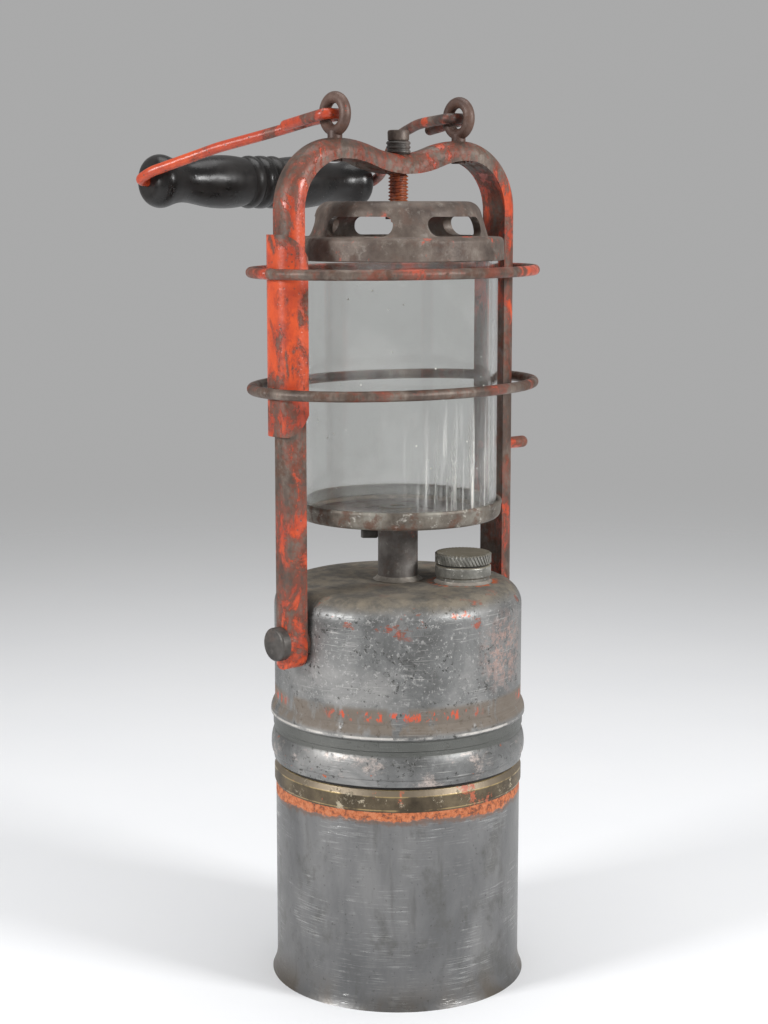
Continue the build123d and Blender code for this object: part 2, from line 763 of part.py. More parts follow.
half_span = hump_x
dip_angle = 2 * atan(dip_depth / half_span)
dip_bend = half_span / (2 * sin(dip_angle))
arm_top_z = hump_top_z - bar_thick / 2 - hump_bend
with BuildPart() as yoke:
    with BuildLine(Plane.XZ) as yoke_line:
        arm = Line((-arm_x, arm_end_z), (-arm_x, arm_top_z))
        outer_bend = JernArc(arm @ 1, (0, 0, 1), hump_bend, -90)
        fall = JernArc(outer_bend @ 1, (1, 0, 0), dip_bend, -degrees(dip_angle))
        JernArc(fall @ 1, fall % 1, dip_bend, degrees(dip_angle))
        mirror(about=Plane.YZ)
    foot = Plane(origin=(-arm_inner_x, 0, arm_end_z), x_dir=(1, 0, 0), z_dir=(0, 0, 1))
    with BuildSketch(foot):
        add(bar_section(0))
    sweep(path=yoke_line.wires()[0])
    for side in (-1, 1):
        pad = Plane(origin=(side * (arm_x - 1), 0, pivot_z), z_dir=(side, 0, 0))
        with BuildSketch(pad):
            Circle(boss_radius)
        extrude(amount=bar_thick / 2 + 1)
    with BuildSketch(Plane.YZ):
        with Locations((0, arm_end_z + bar_width / 4 - 1)):
            Rectangle(2 * bar_width, bar_width / 2 + 2)
        with Locations((0, arm_end_z + bar_width / 2)):
            Circle(bar_width / 2, mode=Mode.SUBTRACT)
    extrude(amount=arm_outer_x + 1, both=True, mode=Mode.SUBTRACT)
    with BuildSketch(Plane.YZ):
        with Locations((0, pivot_z)):
            Circle(stud_radius + solder_gap)
    extrude(amount=arm_outer_x + 1, both=True, mode=Mode.SUBTRACT)
    with BuildSketch(Plane.YZ.offset(arm_inner_x)):
        with Locations((0, pin_z)):
            Circle(pin_shank + solder_gap)
    extrude(amount=bar_thick, mode=Mode.SUBTRACT)
    with BuildSketch(Plane.XY.offset(dip_low_z - 1)):
        Circle(screw_radius + running_gap)
    extrude(amount=bar_thick + 2, mode=Mode.SUBTRACT)
    with BuildSketch(Plane.XY.offset(dip_top_z)):
        Circle(lock_nut_radius + free_gap)
    extrude(amount=lock_nut_height, mode=Mode.SUBTRACT)
    with BuildSketch(Plane.XY.offset(hump_top_z - bar_thick - 2)):
        with Locations((-hump_x, 0), (hump_x, 0)):
            Circle(eye_stem + solder_gap)
    extrude(amount=bar_thick + 4, mode=Mode.SUBTRACT)

yoke.part.label = "yoke"
export_step(yoke.part, "parts/yoke.step")

with BuildPart() as stud_bosses:
    for side in (-1, 1):
        face = Plane(origin=(side * (arm_inner_x - solder_gap), 0, pivot_z), z_dir=(-side, 0, 0))
        with BuildSketch(face):
            Circle(boss_radius)
            Circle(stud_radius + solder_gap, mode=Mode.SUBTRACT)
        extrude(amount=arm_inner_x - tank_inner)
    with BuildSketch(Plane.XY.offset(pivot_z - 2 * boss_radius)):
        Circle(tank_radius + solder_gap)
    extrude(amount=4 * boss_radius, mode=Mode.SUBTRACT)

stud_bosses.part.label = "stud_bosses"
export_step(stud_bosses.part, "parts/stud_bosses.step")

with BuildPart() as pivot_studs:
    for side in (-1, 1):
        seat = Plane(origin=(side * (arm_outer_x + solder_gap), 0, pivot_z), z_dir=(side, 0, 0))
        with BuildSketch(seat):
            Circle(stud_head_radius)
        extrude(amount=stud_head_height)
    heads = pivot_studs.edges().filter_by(GeomType.CIRCLE).group_by(Axis.X)
    fillet(heads[0] + heads[-1], radius=1.2)
    for side in (-1, 1):
        seat = Plane(origin=(side * (arm_outer_x + solder_gap), 0, pivot_z), z_dir=(-side, 0, 0))
        with BuildSketch(seat):
            Circle(stud_radius)
        extrude(amount=arm_outer_x - tank_inner + tank_wall)

pivot_studs.part.label = "pivot_studs"
export_step(pivot_studs.part, "parts/pivot_studs.step")

with BuildPart() as side_pin:
    with BuildSketch(Plane.YZ.offset(arm_outer_x + solder_gap)):
        with Locations((0, pin_z)):
            Circle(pin_radius)
    extrude(amount=pin_length)
    fillet(side_pin.edges().group_by(Axis.X)[-1], radius=pin_round)
    with BuildSketch(Plane.YZ.offset(arm_outer_x + solder_gap)):
        with Locations((0, pin_z)):
            Circle(pin_shank)
    extrude(amount=-bar_thick)

side_pin.part.label = "side_pin"
export_step(side_pin.part, "parts/side_pin.step")

# ================================================================ eyelets
with BuildPart() as eyelets:
    for side in (-1, 1):
        ring = Plane(origin=(side * hump_x, 0, bail_z), x_dir=(0, 1, 0), z_dir=(1, 0, 0))
        with BuildSketch(Plane(origin=ring.origin, x_dir=(0, 0, 1), z_dir=(0, -1, 0))):
            with Locations((eye_ring, 0)):
                Circle(eye_rod)
        revolve(axis=Axis(ring.origin, (1, 0, 0)))
        with BuildSketch(Plane.XY.offset(hump_top_z - bar_thick - eye_rivet)):
            with Locations((side * hump_x, 0)):
                Circle(eye_stem)
        extrude(amount=bail_z - eye_ring - hump_top_z + bar_thick + eye_rivet)

eyelets.part.label = "eyelets"
export_step(eyelets.part, "parts/eyelets.step")

# ================================================================ bail
droop = radians(bail_droop)
bail_plane = Plane(origin=(0, 0, bail_z), x_dir=(1, 0, 0), z_dir=(0, sin(droop), cos(droop)))
hook_in = hump_x - hook_half_width
hook_out = hump_x + hook_half_width
knuckle_x = grip_half + knuckle_out
bail_spread = knuckle_x - hook_in
half_route = [
    (hook_out + 0.5, tail_length, tail_rise),
    (hook_out, 0, 0),
    (hook_in, 0, 0),
    (hook_in + 0.0167 * bail_spread, 0.201 * grip_reach, 3.6),
    (hook_in + 0.1417 * bail_spread, 0.3938 * grip_reach, 4.4),
    (hook_in + 0.5194 * bail_spread, 0.6289 * grip_reach, 4.1),
    (knuckle_x - 1.2, 0.9072 * grip_reach, 1.4),
    (knuckle_x, grip_reach, 0),
]
half_radii = [hook_bend, hook_bend, 40, 50, 60, 14, knuckle_bend]
left_route = [(-x, s, t) for x, s, t in half_route]
with BuildPart() as bail_wire:
    with BuildLine(bail_plane) as wire_line:
        FilletPolyline(
            *left_route,
            *reversed(half_route),
            radius=half_radii + half_radii[::-1],
        )
    with BuildSketch(Plane(origin=wire_line.line @ 0, z_dir=wire_line.line % 0)):
        Circle(bail_wire_radius)
    sweep(path=wire_line.wires()[0])
    ends = [wire_line.line @ 0, wire_line.line @ 1]
    for end in ends:
        with Locations(end):
            Sphere(bail_wire_radius)

bail_wire.part.label = "bail_wire"
export_step(bail_wire.part, "parts/bail_wire.step")

grip_centre = bail_plane.from_local_coords((0, grip_reach, 0))
grip_side = Plane(origin=grip_centre, x_dir=(1, 0, 0), z_dir=bail_plane.z_dir)
grip_bore = bail_wire_radius + free_gap
with BuildPart() as bail_grip:
    with BuildSketch(grip_side):
        with BuildLine():
            bead = ThreePointArc((0, grip_barrel_radius), (2.6, 10.9), (3.4, 10.3))
            bead_2 = ThreePointArc(bead @ 1, (6.2, grip_barrel_radius), (9.0, 10.3))
            barrel = Spline(
                bead_2 @ 1,
                (12.0, 10.8),
                (20.0, grip_barrel_radius),
                (32.0, 10.2),
                (42.5, grip_neck_radius),
                (47.5, 10.0),
                (52.0, grip_end_radius),
                (56.4, 9.8),
                (grip_half, 6.0),
            )
            Polyline(barrel @ 1, (grip_half, grip_bore), (0, grip_bore), bead @ 0)
        make_face()
    revolve(axis=Axis(grip_centre, (1, 0, 0)))
    mirror(about=Plane.YZ)

bail_grip.part.label = "bail_grip"
export_step(bail_grip.part, "parts/bail_grip.step")

# ================================================================ guard
# A half-round sheet saddle on the -X arm carries two oval wires that pass outside
# both arms.
saddle_inner = saddle_gap
saddle_outer = saddle_gap + saddle_wall
saddle_face_x = arm_outer_x + saddle_outer
with BuildPart() as guard_saddle:
    base = Plane(origin=(-arm_inner_x, 0, saddle_low_z), x_dir=(1, 0, 0), z_dir=(0, 0, 1))
    with BuildSketch(base):
        add(bar_section(saddle_outer, inner=-0.6))
    extrude(amount=saddle_high_z - saddle_low_z)
    with BuildSketch(base):
        add(bar_section(saddle_inner, inner=1.0))
    extrude(amount=saddle_high_z - saddle_low_z, mode=Mode.SUBTRACT)
    with BuildSketch(Plane.XZ):
        with BuildLine():
            low = ThreePointArc(
                (-saddle_face_x + 2, saddle_low_z),
                (-arm_x - 1, saddle_low_z + 0.3 * saddle_flank_trim),
                (-arm_inner_x + 1, saddle_low_z + saddle_flank_trim + 4),
            )
            Polyline(low @ 0, (-arm_inner_x + 1, saddle_low_z), low @ 1)
        make_face()
        with BuildLine():
            high = ThreePointArc(
                (-saddle_face_x + 1, saddle_high_z),
                (-arm_x - 1, saddle_high_z - 0.35 * saddle_flank_trim),
                (-arm_inner_x + 1, saddle_high_z - saddle_flank_trim - 4),
            )
            Polyline(high @ 0, (-arm_inner_x + 1, saddle_high_z), high @ 1)
        make_face()
    extrude(amount=2 * bar_width, both=True, mode=Mode.SUBTRACT)

guard_saddle.part.label = "guard_saddle"
export_step(guard_saddle.part, "parts/guard_saddle.step")

guard_left = saddle_face_x + solder_gap + guard_wire_radius
guard_right = arm_outer_x + 2 * solder_gap + guard_wire_radius
guard_half_width = (guard_left + guard_right) / 2
guard_centre_x = (guard_right - guard_left) / 2
for name, ring_z in (("guard_ring_upper", guard_upper_z), ("guard_ring_lower", guard_lower_z)):
    with BuildPart() as guard_ring:
        with BuildLine(Plane.XY.offset(ring_z)) as ring_line:
            EllipticalCenterArc(
                (guard_centre_x, 0),
                guard_half_width,
                guard_half_depth,
                start_angle=-180 + guard_gap_deg,
                arc_size=360 - 2 * guard_gap_deg,
            )
        with BuildSketch(Plane(origin=ring_line.line @ 0, z_dir=ring_line.line % 0)):
            Circle(guard_wire_radius)
        sweep(path=ring_line.wires()[0])
        with Locations(ring_line.line @ 0, ring_line.line @ 1):
            Sphere(guard_wire_radius - 0.01)
    guard_ring.part.label = name
    export_step(guard_ring.part, f"parts/{name}.step")
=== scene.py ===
"""A carbide hand lamp: its finishes, fine pieces, light and camera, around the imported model.

Metres throughout, with +Z up and the origin at the middle of the base.
"""

import logging
import math
import random
from collections.abc import Iterator
from contextlib import contextmanager
from dataclasses import dataclass
from enum import Enum

import bpy
from mathutils import Euler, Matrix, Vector


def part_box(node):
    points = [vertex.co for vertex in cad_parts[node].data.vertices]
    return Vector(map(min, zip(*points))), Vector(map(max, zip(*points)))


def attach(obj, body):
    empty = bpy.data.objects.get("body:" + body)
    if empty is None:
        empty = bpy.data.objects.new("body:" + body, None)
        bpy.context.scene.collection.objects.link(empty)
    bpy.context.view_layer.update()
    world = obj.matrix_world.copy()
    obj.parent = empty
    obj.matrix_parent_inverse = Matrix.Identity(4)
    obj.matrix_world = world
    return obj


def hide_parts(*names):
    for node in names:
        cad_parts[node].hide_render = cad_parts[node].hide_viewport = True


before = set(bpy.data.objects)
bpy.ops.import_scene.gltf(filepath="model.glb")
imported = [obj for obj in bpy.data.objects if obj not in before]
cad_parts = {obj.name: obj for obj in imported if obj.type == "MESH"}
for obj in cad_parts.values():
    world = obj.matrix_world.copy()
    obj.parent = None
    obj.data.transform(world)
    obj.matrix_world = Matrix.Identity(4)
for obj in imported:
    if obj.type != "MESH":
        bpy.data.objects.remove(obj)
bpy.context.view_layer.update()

log = logging.getLogger("lamp")

MM = 0.001
FULL_TURN = 2 * math.pi
WELD = 1e-6
SMOOTH_ANGLE = math.radians(35)

# How deep solder and seams are sunk into the metal under them.
BURIED = 0.1 * MM
SEAM_SUNK = 0.15 * MM

# The face of a ring of solder: how far out and how far up, as shares of its reach.
SOLDER_CURVE = ((1.0, 0.12), (0.55, 0.24), (0.26, 0.52), (0.10, 1.0))

Colour = tuple[float, float, float]
Point = tuple[float, float, float]
Outline = list[tuple[float, float]]
Stops = tuple[tuple[float, Colour], ...]
Node = bpy.types.ShaderNode
Socket = bpy.types.NodeSocket
Finish = bpy.types.Material
Piece = bpy.types.Object
Value = Socket | float


class Body(Enum):
    """The moving bodies of the lamp."""

    CAN = "can"
    TANK = "tank"
    CAP = "cap"
    VALVE = "valve"
    SCREW = "screw"
    BAIL = "bail"


class Picks(Enum):
    """What edit mode selects."""

    CORNERS = "VERT"
    EDGES = "EDGE"
    FACES = "FACE"


class Operation(Enum):
    """The sums that a finish may do with its patterns."""

    ADD = "ADD"
    TAKE = "SUBTRACT"
    TIMES = "MULTIPLY"
    LARGER = "MAXIMUM"


# ---------------------------------------------------------------- node graphs
class Graph:
    """One material and a short way to write its nodes."""

    def __init__(self, name: str) -> None:
        """Starts a material that holds only a surface shader.

        Args:
            name: The material's name.
        """
        self.material = bpy.data.materials.new(name)
        self.material.use_nodes = True
        self.tree = self.material.node_tree
        self.tree.nodes.clear()
        self.shader = self.node("BsdfPrincipled")
        output = self.node("OutputMaterial")
        self.tree.links.new(self.shader.outputs["BSDF"], output.inputs["Surface"])
        coords = self.node("TexCoord")
        self.place = coords.outputs["Object"]
        self.facing = coords.outputs["Normal"]

    def node(self, kind: str) -> Node:
        """Adds a node; its type is given without the prefix that all of them share."""
        return self.tree.nodes.new("ShaderNode" + kind)

    def feed(self, socket: Socket, value: Value | Colour) -> None:
        """Links a socket to another, or sets its value.

        Args:
            socket: The input to fill.
            value: A socket, a number or a colour.
        """
        if isinstance(value, Socket):
            self.tree.links.new(value, socket)
        elif isinstance(value, tuple) and socket.type == "RGBA":
            socket.default_value = (*value, 1.0)
        else:
            socket.default_value = value

    def part(self, axis: str, vector: Socket | None = None) -> Socket:
        """One coordinate of a vector.

        Args:
            axis: "X", "Y" or "Z".
            vector: The vector, or None for the place on the object.

        Returns:
            That coordinate.
        """
        split = self.node("SeparateXYZ")
        self.feed(split.inputs[0], vector or self.place)
        return split.outputs[axis]

    def texture(self, kind: str, scale: float, stretch: Point, shift: Point) -> Node:
        """A texture laid over the place on the object.

        Args:
            kind: The texture's type.
            scale: Its repeats per metre.
            stretch: Factors on the three coordinates.
            shift: A move of the pattern.

        Returns:
            The texture.
        """
        mapping = self.node("Mapping")
        mapping.inputs["Location"].default_value = shift
        mapping.inputs["Scale"].default_value = stretch
        self.feed(mapping.inputs["Vector"], self.place)
        texture = self.node(kind)
        self.feed(texture.inputs["Vector"], mapping.outputs["Vector"])
        texture.inputs["Scale"].default_value = scale
        return texture

    def noise(
        self,
        scale: float,
        detail: float = 5.0,
        roughness: float = 0.6,
        stretch: Point = (1.0, 1.0, 1.0),
        shift: Point = (0.0, 0.0, 0.0),
        warp: float = 0.0,
    ) -> Socket:
        """A cloudy pattern round 0.5.

        Args:
            scale: Clouds per metre.
            detail: How many finer layers it has.
            roughness: How strong those layers are.
            stretch: Factors on the three coordinates.
            shift: A move of the pattern.
            warp: How far it is pulled about.

        Returns:
            The pattern.
        """
        texture = self.texture("TexNoise", scale, stretch, shift)
        texture.inputs["Detail"].default_value = detail
        texture.inputs["Roughness"].default_value = roughness
        texture.inputs["Distortion"].default_value = warp
        return texture.outputs["Fac"]

    def cells(self, scale: float, stretch: Point = (1.0, 1.0, 1.0)) -> Socket:
        """The distance to scattered points, for pits and specks.

        Args:
            scale: Points per metre.
            stretch: Factors on the three coordinates.

        Returns:
            The distance, 0 at a point.
        """
        return self.texture("TexVoronoi", scale, stretch, (0.0, 0.0, 0.0)).outputs["Distance"]

    def sum(self, operation: Operation, first: Value, second: Value) -> Socket:
        """Two values put together.

        Args:
            operation: What is done with them.
            first: The first value.
            second: The second value.

        Returns:
            The result.
        """
        maths = self.node("Math")
        maths.operation = operation.value
        self.feed(maths.inputs[0], first)
        self.feed(maths.inputs[1], second)
        return maths.outputs[0]

    def add(self, first: Value, second: Value) -> Socket:
        """The sum of two values."""
        return self.sum(Operation.ADD, first, second)

    def less(self, first: Value, second: Value) -> Socket:
        """The first value without the second."""
        return self.sum(Operation.TAKE, first, second)

    def most(self, first: Value, second: Value) -> Socket:
        """The larger of two values."""
        return self.sum(Operation.LARGER, first, second)

    def times(self, *values: Value) -> Socket:
        """All the values multiplied.

        Args:
            values: Two or more values.

        Returns:
            Their product.
        """
        result = values[0]
        for value in values[1:]:
            result = self.sum(Operation.TIMES, result, value)
        return result

    def fade(self, value: Value, low: float, high: float) -> Socket:
        """A smooth step from 0 at low to 1 at high; low may be the larger.

        Args:
            value: The value to step on.
            low: Where the step is 0.
            high: Where the step is 1.

        Returns:
            The step.
        """
        step = self.node("MapRange")
        step.interpolation_type = "SMOOTHSTEP"
        self.feed(step.inputs["Value"], value)
        flip = low > high
        step.inputs["From Min"].default_value = min(low, high)
        step.inputs["From Max"].default_value = max(low, high)
        step.inputs["To Min"].default_value = 1.0 if flip else 0.0
        step.inputs["To Max"].default_value = 0.0 if flip else 1.0
        return step.outputs["Result"]

    def band(self, value: Value, low: float, high: float, soft: float) -> Socket:
        """1 between two values and 0 outside them, with soft ends."""
        return self.times(
            self.fade(value, low - soft, low + soft), self.fade(value, high + soft, high - soft)
        )

    def near(self, centre: Point, inner: float, outer: float) -> Socket:
        """1 round a point and 0 away from it.

        Args:
            centre: The point.
            inner: The radius inside which it is 1.
            outer: The radius outside which it is 0.

        Returns:
            The mask.
        """
        reach = self.node("VectorMath")
        reach.operation = "DISTANCE"
        self.feed(reach.inputs[0], self.place)
        reach.inputs[1].default_value = centre
        return self.fade(reach.outputs["Value"], outer, inner)

    def radius(self) -> Socket:
        """The distance from the lamp's axis.

        Returns:
            The distance, in metres.
        """
        flat = self.node("VectorMath")
        flat.operation = "MULTIPLY"
        self.feed(flat.inputs[0], self.place)
        flat.inputs[1].default_value = (1.0, 1.0, 0.0)
        length = self.node("VectorMath")
        length.operation = "LENGTH"
        self.feed(length.inputs[0], flat.outputs[0])
        return length.outputs["Value"]

    def ramp(self, value: Value, stops: Stops) -> Socket:
        """A colour that follows a value.

        Args:
            value: The value, from 0 to 1.
            stops: Positions and their colours.

        Returns:
            The colour.
        """
        node = self.node("ValToRGB")
        self.feed(node.inputs[0], value)
        points = node.color_ramp.elements
        while len(points) < len(stops):
            points.new(0.5)
        for point, (position, colour) in zip(points, stops):
            point.position = position
            point.color = (*colour, 1.0)
        return node.outputs["Color"]

    def mix(self, share: Value, first: Value | Colour, second: Value | Colour) -> Socket:
        """One colour that gives way to another.

        Args:
            share: How much of the second shows.
            first: The colour underneath.
            second: The colour on top.

        Returns:
            The mixed colour.
        """
        node = self.node("Mix")
        node.data_type = "RGBA"
        self.feed(node.inputs[0], share)
        self.feed(node.inputs[6], first)
        self.feed(node.inputs[7], second)
        return node.outputs[2]

    def weigh(self, share: Value, first: Value, second: Value) -> Socket:
        """One number that gives way to another.

        Args:
            share: How much of the second counts.
            first: The number underneath.
            second: The number on top.

        Returns:
            The mixed number.
        """
        node = self.node("Mix")
        node.data_type = "FLOAT"
        self.feed(node.inputs[0], share)
        self.feed(node.inputs[2], first)
        self.feed(node.inputs[3], second)
        return node.outputs[0]

    def bump(self, relief: Socket, depth: float, under: Socket | None = None) -> Socket:
        """A surface raised by a pattern.

        Args:
            relief: The pattern, from 0 to 1.
            depth: How high 1 stands, in metres.
            under: A bump that this one is laid on.

        Returns:
            The bumped normal.
        """
        node = self.node("Bump")
        node.inputs["Strength"].default_value = 1.0
        node.inputs["Distance"].default_value = depth
        self.feed(node.inputs["Height"], relief)
        if under is not None:
            self.feed(node.inputs["Normal"], under)
        return node.outputs["Normal"]

    def surface(
        self, colour: Value | Colour, roughness: Value, metal: Value, normal: Socket
    ) -> None:
        """Feeds the surface shader.

        Args:
            colour: The base colour.
            roughness: How dull it is.
            metal: How metallic it is.
            normal: The bumped normal.
        """
        self.feed(self.shader.inputs["Base Color"], colour)
        self.feed(self.shader.inputs["Roughness"], roughness)
        self.feed(self.shader.inputs["Metallic"], metal)
        self.feed(self.shader.inputs["Normal"], normal)


# ---------------------------------------------------------------- finishes
VERMILION: Colour = (0.56, 0.072, 0.016)
DEEP_RED: Colour = (0.22, 0.030, 0.013)
FADED_ORANGE: Colour = (0.50, 0.115, 0.040)
RUST: Colour = (0.095, 0.042, 0.024)
BROWN_IRON: Colour = (0.085, 0.058, 0.044)
GREY_BROWN: Colour = (0.165, 0.130, 0.105)
TAN_DUST: Colour = (0.215, 0.180, 0.130)


@dataclass(frozen=True)
class CanSteel:
    """Zinc-coated sheet, scratched round and round, with paint left under the collar."""

    name: str = "can_steel"
    band_low: float = 78.6 * MM
    band_high: float = 83.5 * MM
    grime_top: float = 16 * MM

    def make(self) -> Finish:
        """Builds the material.

        Returns:
            The material.
        """
        g = Graph(self.name)
        height = g.part("Z")
        clouds = g.noise(34, 7, 0.62, (1, 1, 0.45), warp=0.4)
        grey = g.ramp(
            clouds,
            (
                (0.30, (0.120, 0.121, 0.122)),
                (0.50, (0.180, 0.180, 0.180)),
                (0.70, (0.255, 0.253, 0.248)),
            ),
        )
        blotch = g.fade(g.noise(60, 7, 0.68, (1, 1, 0.8)), 0.50, 0.64)
        grey = g.mix(g.times(blotch, 0.55), grey, (0.105, 0.103, 0.095))
        hairs = g.fade(g.noise(1.0, 3, 0.6, (75, 75, 2400)), 0.52, 0.70)
        coarse = g.fade(g.noise(1.0, 2, 0.5, (65, 65, 950), (3, 1, 2)), 0.60, 0.72)
        patches = g.fade(g.noise(42, 6, 0.7, (1, 1, 0.7), (0.2, 0, 0)), 0.46, 0.62)
        scratched = g.times(g.most(hairs, coarse), patches)
        grey = g.mix(g.times(scratched, 0.42), grey, (0.55, 0.55, 0.53))
        drips = g.fade(g.noise(1.0, 5, 0.6, (120, 120, 18)), 0.57, 0.74)
        grey = g.mix(g.times(drips, 0.5), grey, (0.085, 0.082, 0.074))
        specks = g.fade(g.noise(700, 4, 0.7), 0.62, 0.68)
        grey = g.mix(g.times(specks, 0.5), grey, (0.06, 0.055, 0.05))
        grime = g.times(g.fade(height, self.grime_top, 0.0), g.fade(clouds, 0.36, 0.60))
        grey = g.mix(g.times(grime, 0.75), grey, (0.105, 0.083, 0.060))
        wave = g.times(g.less(g.noise(34, 3, 0.5, shift=(0.6, 0.2, 0)), 0.5), 7 * MM)
        tooth = g.times(g.less(g.noise(260, 6, 0.7), 0.5), 6 * MM)
        ragged = g.add(height, g.add(wave, tooth))
        painted = g.band(ragged, self.band_low, self.band_high + 6 * MM, 0.5 * MM)
        worn_paint = g.ramp(
            g.noise(520, 6, 0.75),
            (
                (0.40, (0.14, 0.050, 0.028)),
                (0.50, (0.46, 0.125, 0.040)),
                (0.70, (0.52, 0.23, 0.12)),
            ),
        )
        fringe = g.times(g.band(ragged, self.band_low - 1.6 * MM, self.band_low, 0.8 * MM), 0.55)
        grey = g.mix(fringe, grey, (0.19, 0.095, 0.055))
        colour = g.mix(painted, grey, worn_paint)
        relief = g.bump(g.noise(14, 2, 0.4), 0.9 * MM)
        relief = g.bump(scratched, 0.03 * MM, relief)
        relief = g.bump(g.add(painted, g.noise(700, 3)), 0.08 * MM, relief)
        rough = g.weigh(scratched, g.weigh(clouds, 0.30, 0.46), 0.22)
        g.surface(colour, g.weigh(painted, rough, 0.75), g.weigh(painted, 0.80, 0.0), relief)
        return g.material


@dataclass(frozen=True)
class TankSteel:
    """Tinned sheet, mottled and pitted, with dust on its shoulder and paint in its corners."""

    name: str = "tank_steel"
    groove_low: float = 105.2 * MM
    groove_high: float = 112.0 * MM
    bead_edge: float = 112.6 * MM
    fleck_low: float = 119.5 * MM
    fleck_high: float = 123.0 * MM
    shoulder: float = 158 * MM
    filler: Point = (0.0174, -0.021, 0.167)
    pink_patch: Point = (0.016, -0.049, 0.143)

    def make(self) -> Finish:
        """Builds the material.

        Returns:
            The material.
        """
        g = Graph(self.name)
        height = g.part("Z")
        clouds = g.noise(30, 8, 0.66, warp=0.5)
        grey = g.ramp(
            clouds,
            (
                (0.30, (0.095, 0.095, 0.092)),
                (0.48, (0.185, 0.187, 0.184)),
                (0.68, (0.33, 0.325, 0.315)),
            ),
        )
        wall = g.fade(height, 122 * MM, 128 * MM)
        speckle = g.fade(g.noise(620, 6, 0.75), 0.54, 0.66)
        grey = g.mix(g.times(speckle, wall, 0.5), grey, (0.50, 0.49, 0.47))
        pits = g.fade(g.noise(520, 5, 0.75, shift=(0.2, 0, 0.4)), 0.56, 0.62)
        pits = g.times(pits, g.fade(g.noise(70, 4), 0.44, 0.54))
        grey = g.mix(g.times(pits, 0.85), grey, (0.045, 0.044, 0.040))
        streaks = g.fade(g.noise(1.0, 3, 0.6, (70, 70, 1900)), 0.55, 0.72)
        streaks = g.times(streaks, g.fade(g.noise(55, 3, 0.5, (1, 1, 1), (0.3, 0, 0)), 0.46, 0.62))
        grey = g.mix(g.times(streaks, 0.5), grey, (0.58, 0.57, 0.54))
        lower = g.fade(height, 106 * MM, 104 * MM)
        blooms = g.fade(g.noise(55, 9, 0.78, (1, 1, 1.5), (0.1, 0.4, 0)), 0.54, 0.66)
        pink = g.mix(g.noise(500, 3), (0.62, 0.55, 0.51), (0.46, 0.36, 0.31))
        grey = g.mix(g.times(blooms, lower, 0.85), grey, pink)
        chips = g.times(g.fade(g.noise(150, 5, 0.7, shift=(0.2, 0.5, 0)), 0.655, 0.69), lower)
        grey = g.mix(chips, grey, FADED_ORANGE)
        # Painted shade: the groove band under the bead is darkened to a neutral grey, as if
        # shadowed.
        painted_groove_shade = g.band(height, self.groove_low, self.groove_high, 0.6 * MM)
        grey = g.mix(g.times(painted_groove_shade, 0.8), grey, (0.105, 0.108, 0.098))
        # Painted highlight: a bright, broken line along the bead edge; the same mask also makes
        # that line glossier.
        painted_bead_highlight = g.band(height, self.bead_edge, self.bead_edge + 0.9 * MM, 0.25 * MM)
        painted_bead_highlight = g.times(painted_bead_highlight, g.fade(g.noise(40, 6, 0.7, shift=(0.5, 0.5, 0)), 0.44, 0.56))
        grey = g.mix(painted_bead_highlight, grey, (0.62, 0.59, 0.55))
        dusty = g.band(height, self.bead_edge + 1.6 * MM, 124.5 * MM, 1.2 * MM)
        dusty = g.times(dusty, g.fade(g.noise(130, 5, 0.6, (1, 1, 0.4)), 0.38, 0.52))
        grey = g.mix(g.times(dusty, 0.8), grey, (0.155, 0.122, 0.092))
        row = g.band(height, self.fleck_low, self.fleck_high, 0.8 * MM)
        flecks = g.fade(g.noise(1.0, 6, 0.75, (330, 330, 170)), 0.52, 0.58)
        row = g.times(row, flecks, g.fade(g.noise(16, 2, 0.5, shift=(0.35, 0.1, 0)), 0.40, 0.50))
        grey = g.mix(g.times(row, 0.95), grey, (0.58, 0.085, 0.035))
        upward = g.fade(g.part("Z", g.facing), 0.30, 0.85)
        top = g.times(g.fade(height, self.shoulder, self.shoulder + 6 * MM), upward)
        dust = g.mix(g.fade(g.noise(90, 8, 0.72), 0.36, 0.62), (0.085, 0.076, 0.062), TAN_DUST)
        grey = g.mix(g.times(top, 0.85), grey, dust)
        edge = g.band(height, 152 * MM, 166 * MM, 2 * MM)
        rubbed = g.fade(g.noise(85, 6, 0.7, (1, 1, 1.6), (0.6, 0.2, 0)), 0.585, 0.63)
        stain = g.fade(g.noise(420, 5, 0.7), 0.42, 0.58)
        stain = g.mix(stain, (0.40, 0.075, 0.035), (0.20, 0.10, 0.070))
        grey = g.mix(g.times(edge, rubbed, 0.75), grey, stain)
        pink = g.fade(g.noise(330, 6, 0.8), 0.47, 0.56)
        pink = g.times(g.near(self.pink_patch, 6 * MM, 21 * MM), pink)
        grey = g.mix(g.times(pink, 0.7), grey, (0.50, 0.33, 0.28))
        by_filler = g.fade(g.noise(260, 4), 0.46, 0.54)
        by_filler = g.times(g.near(self.filler, 12.5 * MM, 16 * MM), by_filler)
        colour = g.mix(by_filler, grey, FADED_ORANGE)
        relief = g.bump(g.noise(17, 2, 0.4), 1.0 * MM)
        relief = g.bump(g.noise(240, 6, 0.7), 0.12 * MM, relief)
        relief = g.bump(g.less(speckle, pits), 0.05 * MM, relief)
        rough = g.weigh(clouds, 0.34, 0.52)
        # The painted bead highlight and the scratch streaks are made glossier.
        rough = g.weigh(g.most(painted_bead_highlight, streaks), rough, 0.30)
        matt = g.most(g.most(top, row), g.times(dusty, 0.8))
        g.surface(colour, g.weigh(matt, rough, 0.82), g.weigh(matt, 0.72, 0.12), relief)
        return g.material


